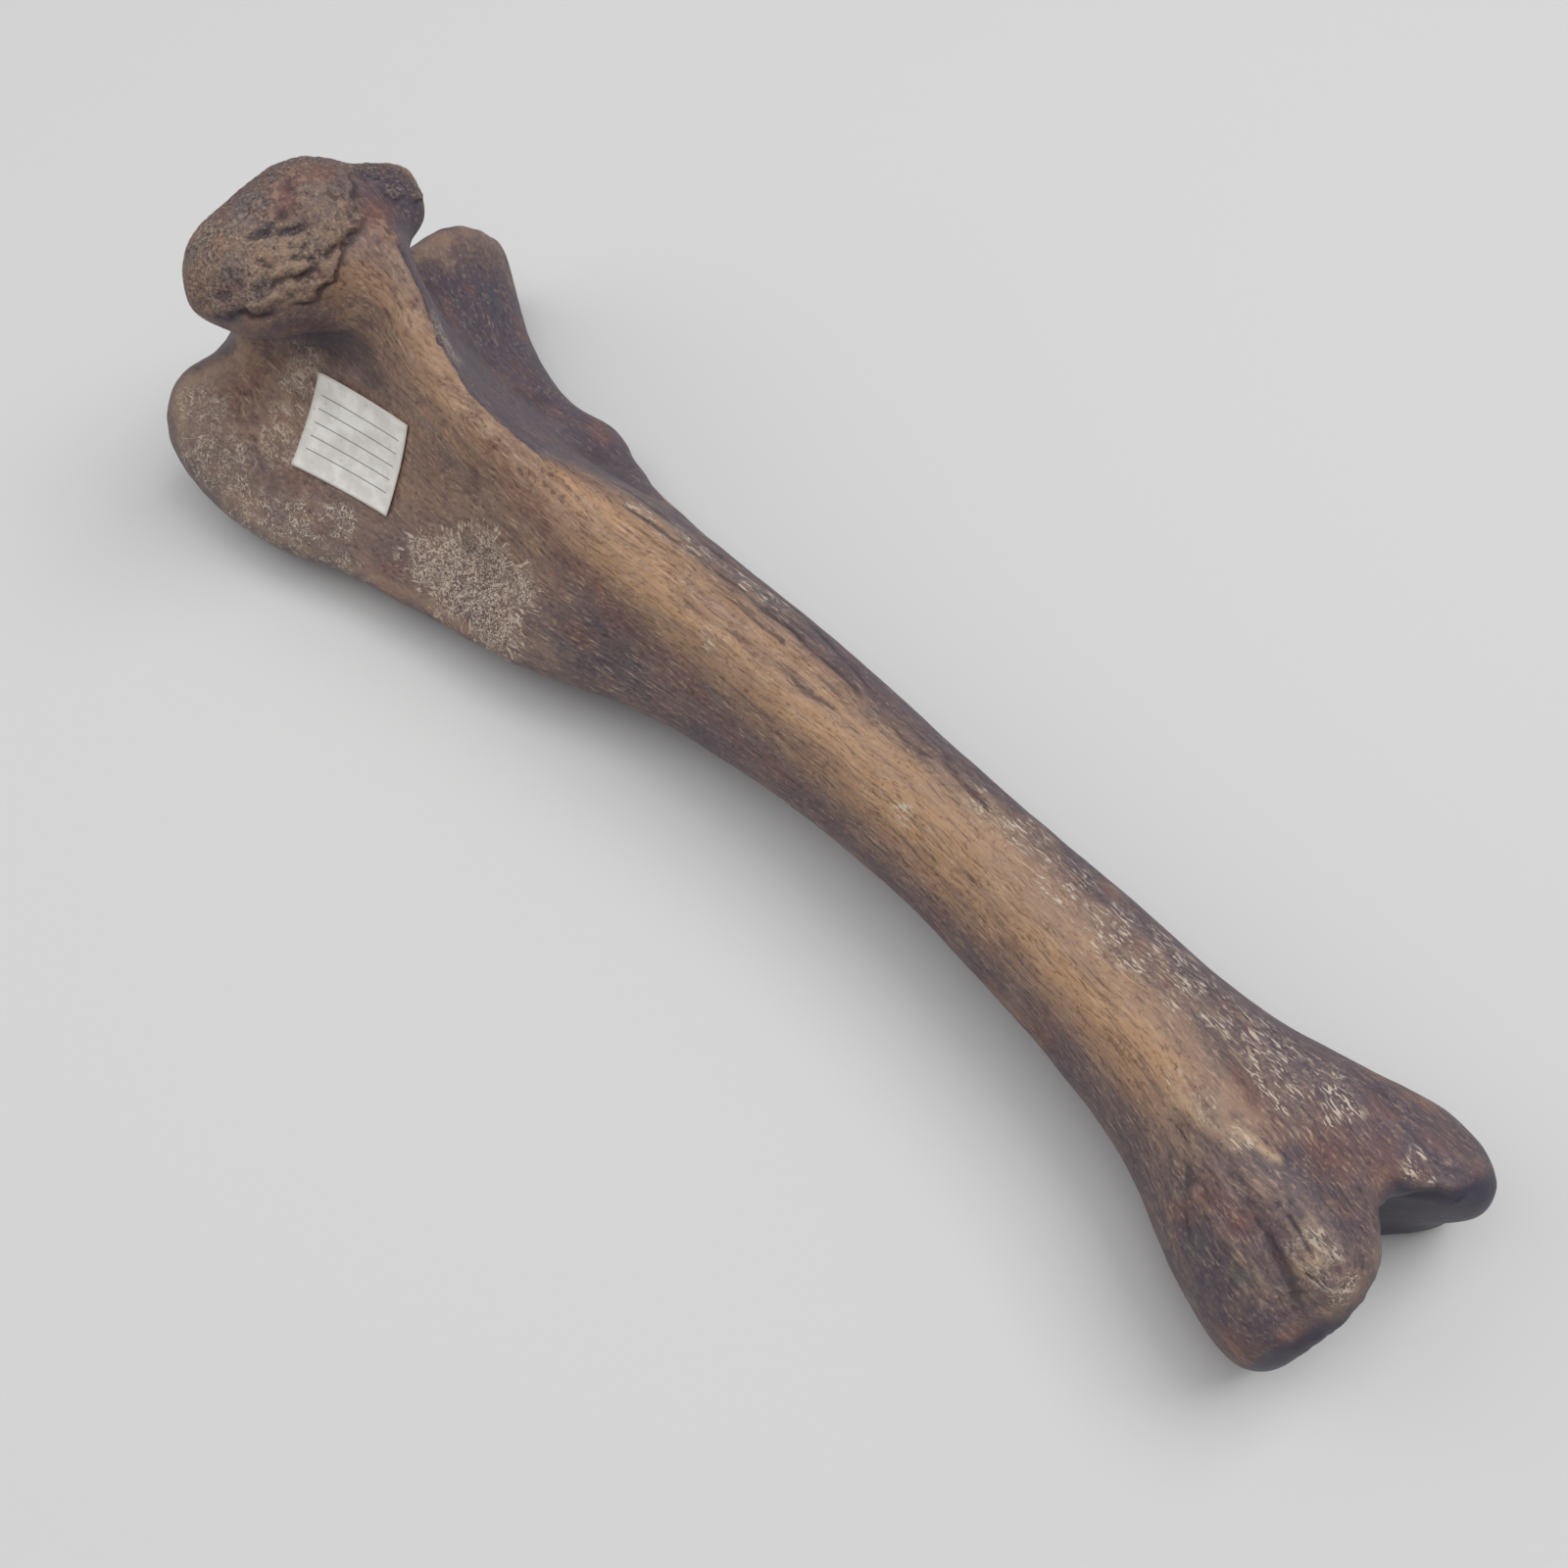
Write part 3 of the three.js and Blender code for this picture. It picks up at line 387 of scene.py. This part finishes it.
gold_width = np.interp(places[:, 0], [p[0] for p in GOLD_LINE], GOLD_WIDTH)
gold_gap = from_line(places + 1.2 * wander, GOLD_LINE) / gold_width
gold = np.exp(-(gold_gap ** 3)) * ease(38, 46, places[:, 0]) * ease(290, 268, places[:, 0])
gold *= (0.7 + 0.3 * ease(70, 100, places[:, 0])) * np.maximum(ease(-0.8, 0.8, inside_edge), ease(92, 104, places[:, 0]))
fresh = np.empty(skin_count * 3, np.float32)
tibia.data.vertex_normals.foreach_get("vector", fresh)
fresh = fresh.reshape(-1, 3).astype(float)

edges = np.empty(len(tibia.data.edges) * 2, np.int32)
tibia.data.edges.foreach_get("vertices", edges)
edges = edges.reshape(-1, 2)
neighbours = np.bincount(edges.ravel(), minlength=skin_count)


def mean_around(values):
    """The mean of each place's neighbours on the skin."""
    total = np.bincount(edges[:, 0], values[edges[:, 1]], skin_count)
    total += np.bincount(edges[:, 1], values[edges[:, 0]], skin_count)
    return total / neighbours


def mean_over(values, rounds):
    for _ in range(rounds):
        values = 0.5 * values + 0.5 * mean_around(values)
    return values


def bulge(reach):
    """How much the skin bulges, plus, or dips, minus, compared with the skin a few steps around it, mm."""
    soft = np.stack([mean_over(places[:, k], reach) for k in range(3)], axis=1)
    return np.einsum("ij,ij->i", places - soft, fresh)


# Curvature share: low in dips, which the finish darkens as painted cavity shade, and high on bulges, which it lightens
# as rubbed wear and painted highlight.
worn = np.clip(0.5 + 2.2 * mean_over(bulge(24), 2) + 3.0 * bulge(4), 0, 1)
facing = np.stack([mean_over(fresh[:, k], 8) for k in range(3)], axis=1)
# Painted shade: faces that turn sideways or down get the purplish brown, mixed with real purplish stain.
purple = ease(0.72, -0.05, facing[:, 2] + 0.2 * lumps(places, 16, 41)) * (0.75 + 0.25 * lumps(places, 9, 42))
inner_face = np.exp(-((from_line(places, [(30, -32, 38), (62, -22, 42), (96, -16, 42)]) / 14) ** 4))
purple *= 1 - 0.8 * inner_face
gold = np.maximum(gold, 0.3 * inner_face)
ankle_skin = ease(280, 306, places[:, 0] + 6 * lumps(places, 9, 52))
purple = np.maximum(purple, ankle_skin * (0.55 + 0.35 * lumps(places, 6, 53)))
# The outer face beside the crest and the shaft's outer side also get the purplish brown, as painted shade on these
# steep faces.
outer_side = ease(0.5, -0.5, inside_edge) * ease(20, 30, places[:, 0]) * ease(112, 98, places[:, 0])
outer_side = np.maximum(outer_side, ease(5, 12, places[:, 1] - 1 * ease(185, 215, places[:, 0]) + 2 * lumps(places * (0.2, 1, 1), 4, 50)) * ease(96, 112, places[:, 0]) * 0.9)
purple = np.maximum(purple, np.maximum(outer_side * (places[:, 2] < 78), near_spots(DUSKY_SHADE_SPOTS, 51, 4)))
red = np.maximum(near_spots(RED_SPOTS, 43, 2.5), 0.8 * np.exp(-((from_line(places + 1.5 * wander, RED_LINE) / 3.2) ** 2)))
red = np.maximum(red, 0.3 * smooth_lip)
# Joint faces get a dark purplish grey: partly the smooth joint bone's own colour, partly painted shade on the steep
# ankle face and down in the groove under the arch.
joint = ease(0.32, 0.6, facing[:, 0]) * (places[:, 0] > 296) * ease(38, 33, places[:, 2])
in_groove = ease(0.15, 0.45, fresh[:, 0]) * ease(0.3, -1.5, into_arch) * ease(2, 6, y) * (x > 308)
joint = np.maximum(joint, in_groove)
knee_joint = ease(0.0, -0.6, facing[:, 0] + 0.1 * lumps(places, 5, 54)) * ease(56, 50, places[:, 2])
joint = np.maximum(joint, 0.6 * knee_joint * (places[:, 0] < 34))

# The bone's grain runs lengthwise and spreads with its ends, so it is kept as places along the shaft's own lines.
SHAFT_HALF = 17
stations = np.arange(-12.0, 346.0, 6.0)
spans = []
for station in stations:
    ring = places[np.abs(places[:, 0] - np.clip(station, 6, 320)) < 6][:, 1:]
    spans.append((*ring.min(axis=0), *ring.max(axis=0)))
spans = np.array(spans)
for _ in range(6):
    spans[1:-1] = (spans[:-2] + 2 * spans[1:-1] + spans[2:]) / 4
grain_way = [places[:, 0]]
for across in (0, 1):
    low, high = (np.interp(places[:, 0], stations, spans[:, column]) for column in (across, across + 2))
    widening = ((high - low) / 2 / SHAFT_HALF) ** 0.6
    grain_way.append((places[:, across + 1] - (low + high) / 2) / widening)
kept = tibia.data.attributes.new("grain_way", "FLOAT_VECTOR", "POINT")
kept.data.foreach_set("vector", np.stack(grain_way, axis=1).astype(np.float32).ravel())

fibrous = np.clip(0.45 + 0.5 * ease(70, 118, places[:, 0]) + 0.8 * gold, 0, 1) * (1 - 0.8 * joint)
fibrous = np.maximum(fibrous, 0.6 * outer_side)
fibrous = np.maximum(fibrous, 0.9 * crest_face)
granular = np.maximum(plate * (1 - 0.25 * smooth_lip), 0.3 * ankle_rough) * (1 - 0.7 * near_spots(RED_SPOTS[:3], 48, 2.0))
for name, share in {
    "gold": gold, "purple": purple, "red": red, "granular": granular, "joint": joint, "fibrous": fibrous,
    "etched": near_spots(ETCH_SPOTS, 44), "starred": near_spots(STAR_SPOTS, 45, 2.5),
    "manganese": near_spots(BLUE_SPOTS, 46, 3.5, 0.6), "green": near_spots(GREEN_SPOTS, 49, 2.5, 0.6),
    "pale": np.maximum(near_spots(PALE_SPOTS, 47, 1.6, 0.6), tan_streaks), "crease": painted_shade_lines, "worn": worn,
}.items():
    kept = tibia.data.attributes.new(name, "FLOAT", "POINT")
    kept.data.foreach_set("value", share.astype(np.float32))

class Tone:
    """A number, colour or direction on its way through a material. Sums on it add Math nodes."""

    def __init__(self, tree, socket=None):
        self.tree, self.socket = tree, socket

    def node(self, kind, settings=None, sockets=None, out=0):
        """Adds a node: its settings first, then its sockets' values or links. Gives the tone of one output."""
        new = self.tree.nodes.new("ShaderNode" + kind)
        for name, value in (settings or {}).items():
            if name == "stops":
                for extra in range(len(value) - 2):
                    new.color_ramp.elements.new(0.5)
                for stop, (where, colour) in zip(new.color_ramp.elements, value):
                    stop.position, stop.color = where, (*colour, 1)
            else:
                setattr(new, name, value)
        for name, value in (sockets or {}).items():
            if isinstance(value, Tone):
                self.tree.links.new(value.socket, new.inputs[name])
            else:
                new.inputs[name].default_value = value
        return Tone(self.tree, new.outputs[out] if len(new.outputs) else None)

    def math(self, operation, *values, clamp=False):
        return self.node("Math", {"operation": operation, "use_clamp": clamp}, dict(enumerate(values)))

    def __add__(self, other):
        return self.math("ADD", self, other)

    def __radd__(self, other):
        return self.math("ADD", other, self)

    def __sub__(self, other):
        return self.math("SUBTRACT", self, other)

    def __rsub__(self, other):
        return self.math("SUBTRACT", other, self)

    def __mul__(self, other):
        return self.math("MULTIPLY", self, other)

    def __rmul__(self, other):
        return self.math("MULTIPLY", other, self)

    def __abs__(self):
        return self.math("ABSOLUTE", self)

    def eased(self, low, high):
        """0 at low, 1 at high, smooth between; low may be the larger."""
        ends = {"From Min": low, "From Max": high, "To Min": 0.0, "To Max": 1.0}
        return self.node("MapRange", {"interpolation_type": "SMOOTHSTEP"}, {"Value": self, **ends})

    def mixed(self, other, share):
        """This colour with a share of another, a number or a tone."""
        return self.node("Mix", {"data_type": "RGBA"}, {0: share, 6: self, 7: other}, out=2)

    def times(self, colour):
        """This direction or place multiplied by three numbers."""
        return self.node("VectorMath", {"operation": "MULTIPLY"}, {0: self, 1: colour})

    def noise(self, size, detail=2.0, rough=0.5, twist=0.0):
        """Noise around 0.5 with lumps of this size, in the units of this place."""
        values = {"Vector": self, "Scale": 1 / size, "Detail": detail, "Roughness": rough, "Distortion": twist}
        return self.node("TexNoise", {}, values)

    def on_skin(self, name):
        """A share kept on the mesh."""
        return self.node("Attribute", {"attribute_name": name}, {}, out=2)


def stain(red, green, blue):
    """The linear colour of an 8-bit screen colour."""
    return tuple(((c / 255 + 0.055) / 1.055) ** 2.4 if c > 10 else c / 255 / 12.92 for c in (red, green, blue)) + (1.0,)


# The fossil bone's finish: brown and purplish skin with a fine lengthwise grain, matt with a faint polish on smooth
# parts.
# Its colour also carries painted shade on the sides, in creases, dips and joint faces, and a painted highlight on
# bulges.
# Rootlet marks are pale thin grooves, and the granular plate has tan grain tips and dark pits.
bone_finish = bpy.data.materials.new("fossil_bone")
bone_finish.use_nodes = True
bone_finish.node_tree.nodes.clear()
tree = Tone(bone_finish.node_tree)
raw = tree.node("TexCoord", {}, {}, out="Object")
place = raw.node("Mapping", {}, {"Vector": raw, "Scale": (1000, 1000, 1000), "Location": tuple(-BONE_ZERO)})
drift = place.node("TexNoise", {}, {"Vector": place, "Scale": 1 / 20, "Detail": 1.0}, out="Color")
drift = drift.node("VectorMath", {"operation": "SUBTRACT"}, {0: drift, 1: (0.5, 0.5, 0.5)})
along = place.node("Attribute", {"attribute_name": "grain_way"}, {}, out="Vector")
waved = along.node("VectorMath", {"operation": "MULTIPLY_ADD"}, {0: drift, 1: (5, 3.5, 3.5), 2: along})

gold, purple, red = tree.on_skin("gold"), tree.on_skin("purple"), tree.on_skin("red")
granular, etched, starred = tree.on_skin("granular"), tree.on_skin("etched"), tree.on_skin("starred")
manganese, green, pale = tree.on_skin("manganese"), tree.on_skin("green"), tree.on_skin("pale")
crease, worn, joint, fibrous = (tree.on_skin(n) for n in ("crease", "worn", "joint", "fibrous"))
fibrous = fibrous * (1 - granular)

wide = place.noise(17, 2, 0.5)
mottle = waved.times((0.5, 1, 1)).noise(5.5, 4, 0.6)
hairs = waved.times((0.14, 1, 1)).noise(0.5, 3, 0.65)
strands = waved.times((0.07, 1, 1)).noise(0.95, 3, 0.6)
dense = place.noise(5, 2, 0.6).eased(0.42, 0.62)
bands = waved.times((0.09, 1, 1)).noise(3.4, 2, 0.5)
speck = waved.times((0.5, 1, 1)).noise(0.62, 2, 0.65)

colour = tree.node("Mix", {"data_type": "RGBA"}, {0: wide.eased(0.36, 0.64), 6: stain(108, 90, 88), 7: stain(130, 107, 98)}, out=2)
# Purplish brown: partly stain, partly painted shade on sideways and downward faces and in the shaded spots.
colour = colour.mixed(stain(80, 70, 85), purple * 0.9)
colour = colour.mixed(stain(128, 90, 80), mottle.eased(0.5, 0.68) * 0.5)
colour = colour.mixed(stain(80, 70, 76), mottle.eased(0.47, 0.32) * 0.4)
colour = colour.mixed(stain(177, 139, 106), gold * (0.45 + 0.6 * bands.eased(0.32, 0.62)))
colour = colour.mixed(stain(116, 76, 70), red * (0.35 + 0.65 * mottle.eased(0.3, 0.6)) * 0.8)
colour = colour.mixed(stain(72, 62, 68), strands.eased(0.46, 0.33) * fibrous * 0.5)
colour = colour.mixed(stain(168, 140, 120), strands.eased(0.54, 0.68) * fibrous * (0.35 + 0.35 * gold - 0.2 * purple))
colour = colour.mixed(stain(76, 74, 86), manganese * bands.eased(0.36, 0.6) * 0.75)
colour = colour.mixed(stain(88, 94, 92), green * mottle.eased(0.4, 0.55) * 0.6)
colour = colour.mixed(stain(192, 164, 134), pale * mottle.eased(0.35, 0.6) * 0.75)
shadow = tree.node("Mix", {"data_type": "RGBA"}, {0: gold, 6: stain(54, 46, 54), 7: stain(84, 54, 40)}, out=2)
colour = colour.mixed(shadow, hairs.eased(0.47, 0.33) * fibrous * 0.6)
colour = colour.mixed(stain(198, 170, 140), hairs.eased(0.53, 0.68) * fibrous * (0.12 + 0.6 * dense) * (1 - 0.4 * purple))
colour = colour.mixed(shadow, speck.eased(0.44, 0.3) * 0.55)
colour = colour.mixed(stain(184, 156, 130), speck.eased(0.56, 0.7) * (0.32 + 0.2 * gold))

grains = place.noise(0.72, 2, 0.6, 0.5)
grit = place.noise(0.42, 1.5, 0.6)
pits = place.noise(1.7, 2, 0.5)
plate_colour = tree.node("Mix", {"data_type": "RGBA"}, {0: wide.eased(0.4, 0.62), 6: stain(110, 97, 98), 7: stain(128, 110, 100)}, out=2)
plate_colour = plate_colour.mixed(stain(126, 88, 72), place.noise(6, 3, 0.6).eased(0.46, 0.62) * 0.5)
plate_colour = plate_colour.mixed(stain(116, 80, 76), red * 0.85)
plate_colour = plate_colour.mixed(stain(66, 64, 80), manganese * 0.75)
plate_colour = plate_colour.mixed(stain(56, 49, 54), grains.eased(0.48, 0.34) * 0.8)
plate_colour = plate_colour.mixed(stain(180, 158, 136), grains.eased(0.53, 0.68) * 0.72 * (0.55 + 0.6 * wide.eased(0.38, 0.6)))
plate_colour = plate_colour.mixed(stain(158, 134, 112), pale * 0.4)
plate_colour = plate_colour.mixed(stain(46, 42, 50), pits.eased(0.4, 0.28) * 0.45)
plate_colour = plate_colour.mixed(stain(52, 45, 50), grit.eased(0.45, 0.3) * 0.65)
colour = colour.mixed(plate_colour, granular * (0.55 + 0.9 * grit).math("MINIMUM", 0.55 + 0.9 * grit, 1.0))

wide_curls = abs(place.noise(2.3, 1.5, 0.45, 1.4) - 0.5).eased(0.028, 0.01)
fine_curls = abs(place.noise(1.3, 1.5, 0.45, 1.2) - 0.5).eased(0.032, 0.012)
curls = wide_curls.math("MAXIMUM", wide_curls, 0.8 * fine_curls) * place.noise(3.4, 2, 0.5).eased(0.38, 0.48)
strokes = waved.times((0.2, 1, 1)).noise(0.6, 1, 0.5, 1.4).eased(0.56, 0.585) * place.noise(4.5, 2, 0.5).eased(0.42, 0.52)
few = place.noise(7, 2, 0.5).eased(0.57, 0.66)
reach = (etched + 0.05 * few).eased(0.06, 0.45)
marks = strokes.math("MAXIMUM", strokes * fibrous.eased(0.35, 0.85), curls * (1 - 0.8 * fibrous.eased(0.5, 0.9))) * reach * (1 - 0.7 * granular)
from_star = place.node("VectorMath", {"operation": "SUBTRACT"}, {0: place, 1: (93, -25, 27)})
star_far = from_star.node("VectorMath", {"operation": "LENGTH"}, {0: from_star}, out="Value")
star_way = from_star.node("VectorMath", {"operation": "NORMALIZE"}, {0: from_star}).times((9, 9, 9))
star_rays = star_way.node("VectorMath", {"operation": "MULTIPLY_ADD"}, {0: from_star, 1: (0.3, 0.3, 0.3), 2: star_way})
rays = star_rays.noise(0.8, 1.5, 0.5, 0.8).eased(0.55, 0.62)
felt = place.noise(0.75, 1.5, 0.5, 1.7).eased(0.48, 0.56)
star_core = starred.eased(0.25, 0.7)
star_marks = felt * star_core + rays * starred.eased(0.06, 0.3) * (1 - star_core)
marks = marks.math("MAXIMUM", marks, star_marks)
colour = colour.mixed(stain(148, 130, 118), etched * (1 - fibrous) * 0.4)
colour = colour.mixed(stain(212, 196, 178), marks * 0.8)

# Painted shade: dark colour in creases, cuts, furrows and holes.
colour = colour.mixed(stain(44, 38, 46), crease * 0.6)
# Painted cavity shade in dips, and on bulges a lighter colour that is partly rubbed wear and partly painted highlight.
colour = colour.mixed(stain(52, 44, 52), worn.eased(0.42, 0.12) * 0.5)
colour = colour.mixed(stain(176, 148, 124), worn.eased(0.62, 0.95) * (1 - 0.85 * purple).math("MULTIPLY", 1 - 0.85 * purple, 1 - 0.5 * gold) * (0.15 + 0.3 * mottle.eased(0.4, 0.6)))

# Dark joint colour: the joint bone's own tone with painted shade on the steep ankle face and in the groove.
colour = colour.mixed(stain(60, 57, 74), joint * 0.9)

gloss = 0.58 + 0.16 * (mottle - 0.5) + 0.2 * granular + 0.14 * marks + 0.12 * crease - 0.1 * joint
relief = fibrous * (0.16 * hairs + 0.22 * strands) + 0.12 * bands + 0.06 * speck + 0.10 * mottle
relief = relief + granular * (0.55 * grains + 0.2 * grit + 0.3 * pits)
relief = relief - 0.08 * marks
bumped = tree.node("Bump", {}, {"Strength": 0.9, "Distance": 0.001, "Height": relief}, out="Normal")
shaded = tree.node("BsdfPrincipled", {}, {"Base Color": colour, "Roughness": gloss, "Normal": bumped, "Specular IOR Level": 0.42})
tree.node("OutputMaterial", {}, {"Surface": shaded})
tibia.data.materials.clear()
tibia.data.materials.append(bone_finish)
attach(tibia, "root")
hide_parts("tibia")

# The label is a small rectangle of white paper, glued to the inner face beside the crest and bent with it.
# Its edges lift a little from the bone, and it holds only plain ruled lines.
LABEL_MIDDLE = Vector((52.5, -24.6, 38))
LABEL_OUT = Vector((0.165, -0.78, 0.6)).normalized()
LABEL_ALONG = Vector((0.975, 0.21, 0))
LABEL_ALONG = (LABEL_ALONG - LABEL_OUT * LABEL_ALONG.dot(LABEL_OUT)).normalized()
LABEL_UP = LABEL_OUT.cross(LABEL_ALONG)
LABEL_LENGTH, LABEL_HEIGHT, LABEL_THICK = 26.5, 22.5, 0.16
under = BVHTree.FromPolygons([tuple(p) for p in places], [tuple(p.vertices) for p in tibia.data.polygons])
paper = bmesh.new()
paper_map = paper.loops.layers.uv.new("UVMap")
bmesh.ops.create_grid(paper, x_segments=52, y_segments=44, size=0.5, calc_uvs=True)
spots = np.array([v.co[:2] for v in paper.verts])
depths = []
for across, up in spots:
    start = LABEL_MIDDLE + LABEL_ALONG * (across * LABEL_LENGTH) + LABEL_UP * (up * LABEL_HEIGHT) + LABEL_OUT * 25
    hit = under.ray_cast(start, -LABEL_OUT)[0]
    depths.append((hit - LABEL_MIDDLE).dot(LABEL_OUT))
depths = np.array(depths)
across, up = spots.T
bends = np.stack([np.ones_like(up), across, up, up ** 2, up ** 3, across * up, across ** 2], axis=1)
sheet = bends @ np.linalg.lstsq(bends, depths, rcond=None)[0]
sheet += max(0, np.percentile(depths - sheet, 98)) + 0.12
sheet = np.maximum(sheet, depths + 0.08)
sheet += 0.22 * ease(0.34, 0.5, np.abs(across)) ** 2 * (0.4 + 0.6 * np.abs(up * 2)) + 0.1 * ease(0.4, 0.5, np.abs(up))
for vert, depth in zip(paper.verts, sheet):
    spot = LABEL_MIDDLE + LABEL_ALONG * (vert.co.x * LABEL_LENGTH) + LABEL_UP * (vert.co.y * LABEL_HEIGHT)
    vert.co = (spot + LABEL_OUT * depth + Vector(BONE_ZERO)) / 1000
bmesh.ops.recalc_face_normals(paper, faces=paper.faces)
if sum((f.normal for f in paper.faces), Vector()).dot(LABEL_OUT) < 0:
    bmesh.ops.reverse_faces(paper, faces=paper.faces)
paper_label = bpy.data.objects.new("paper_label", bpy.data.meshes.new("paper_label"))
bpy.context.scene.collection.objects.link(paper_label)
paper.to_mesh(paper_label.data)
paper.free()
paper_label.data.shade_smooth()
body = paper_label.modifiers.new("thickness", "SOLIDIFY")
body.thickness, body.offset = LABEL_THICK / 1000, 1.0

paper_finish = bpy.data.materials.new("label_paper")
paper_finish.use_nodes = True
paper_finish.node_tree.nodes.clear()
tree = Tone(paper_finish.node_tree)
raw = tree.node("TexCoord", {}, {}, out="Object")
place = raw.node("Mapping", {}, {"Vector": raw, "Scale": (1000, 1000, 1000), "Location": tuple(-BONE_ZERO)})
flat = tree.node("UVMap", {"uv_map": "UVMap"}, {})
along = flat.node("SeparateXYZ", {}, {0: flat}, out=0)
upward = flat.node("SeparateXYZ", {}, {0: flat}, out=1)
felt = place.noise(0.35, 3, 0.6)
cloudy = place.noise(5, 3, 0.6)
dirt = place.noise(1.1, 2, 0.6)
paper_colour = tree.node("Mix", {"data_type": "RGBA"}, {0: cloudy.eased(0.35, 0.65), 6: stain(218, 214, 208), 7: stain(238, 235, 230)}, out=2)
paper_colour = paper_colour.mixed(stain(150, 140, 124), dirt.eased(0.66, 0.74) * 0.45)
row = (upward * 7.0).math("FRACT", upward * 7.0) - 0.5
ruled = abs(row).eased(0.055, 0.03)
margins = along.eased(0.07, 0.075) * along.eased(0.93, 0.925) * upward.eased(0.1, 0.11) * upward.eased(0.92, 0.91)
paper_colour = paper_colour.mixed(stain(96, 98, 108), ruled * margins * (0.55 + 0.4 * felt))
edge_dirt = along.eased(0.035, 0.0) + along.eased(0.965, 1.0) + upward.eased(0.035, 0.0) + upward.eased(0.965, 1.0)
paper_colour = paper_colour.mixed(stain(160, 144, 122), edge_dirt * cloudy.eased(0.3, 0.7) * 0.5)
paper_bump = tree.node("Bump", {}, {"Strength": 0.5, "Distance": 0.001, "Height": 0.05 * felt + 0.08 * cloudy}, out="Normal")
shaded = tree.node("BsdfPrincipled", {}, {"Base Color": paper_colour, "Roughness": 0.72 + 0.1 * felt, "Normal": paper_bump, "Specular IOR Level": 0.35})
tree.node("OutputMaterial", {}, {"Surface": shaded})
paper_label.data.materials.append(paper_finish)
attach(paper_label, "root")
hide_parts("label")

# The floor is a plain pale sheet under the bone, lit by one wide soft lamp from the outer side, a weaker one
# from the inner side and a soft one overhead.
floor_shape = bmesh.new()
bmesh.ops.create_grid(floor_shape, x_segments=1, y_segments=1, size=4)
floor = bpy.data.objects.new("floor", bpy.data.meshes.new("floor"))
bpy.context.scene.collection.objects.link(floor)
floor_shape.to_mesh(floor.data)
floor_shape.free()
floor_finish = bpy.data.materials.new("pale_floor")
floor_finish.use_nodes = True
floor_finish.node_tree.nodes["Principled BSDF"].inputs["Base Color"].default_value = stain(214, 214, 214)
floor_finish.node_tree.nodes["Principled BSDF"].inputs["Roughness"].default_value = 0.9
floor.data.materials.append(floor_finish)

LAMPS = {
    "key": ((0.25, 0.75, 1.45), 1.0, 13),
    "fill": ((-0.8, -0.9, 1.0), 1.4, 5.5),
    "top": ((0.0, -0.25, 1.7), 1.3, 10),
}
for name, (spot, width, power) in LAMPS.items():
    lamp = bpy.data.objects.new(name, bpy.data.lights.new(name, "AREA"))
    lamp.data.shape, lamp.data.size, lamp.data.energy = "SQUARE", width, power
    lamp.location = spot
    lamp.rotation_euler = Vector(spot).to_track_quat("Z", "Y").to_euler()
    bpy.context.scene.collection.objects.link(lamp)
room = bpy.data.worlds.new("studio")
room.use_nodes = True
room.node_tree.nodes["Background"].inputs["Color"].default_value = (1, 1, 1, 1)
room.node_tree.nodes["Background"].inputs["Strength"].default_value = 0.22
bpy.context.scene.world = room
bpy.context.scene.view_settings.view_transform = "Standard"

# The camera stands where the photograph was taken from, above the bone's inner side near the ankle end.
EYE, AIM = Vector((300.64, -127.70, 349.10)), Vector((165.95, 0.01, 0))
camera = bpy.data.objects.new("camera", bpy.data.cameras.new("camera"))
camera.data.lens, camera.data.sensor_width = 40.5, 36
camera.location = (EYE + Vector(BONE_ZERO)) / 1000
camera.rotation_euler = (AIM - EYE).to_track_quat("-Z", "Y").to_euler()
camera.data.clip_start = 0.01
bpy.context.scene.collection.objects.link(camera)
bpy.context.scene.camera = camera
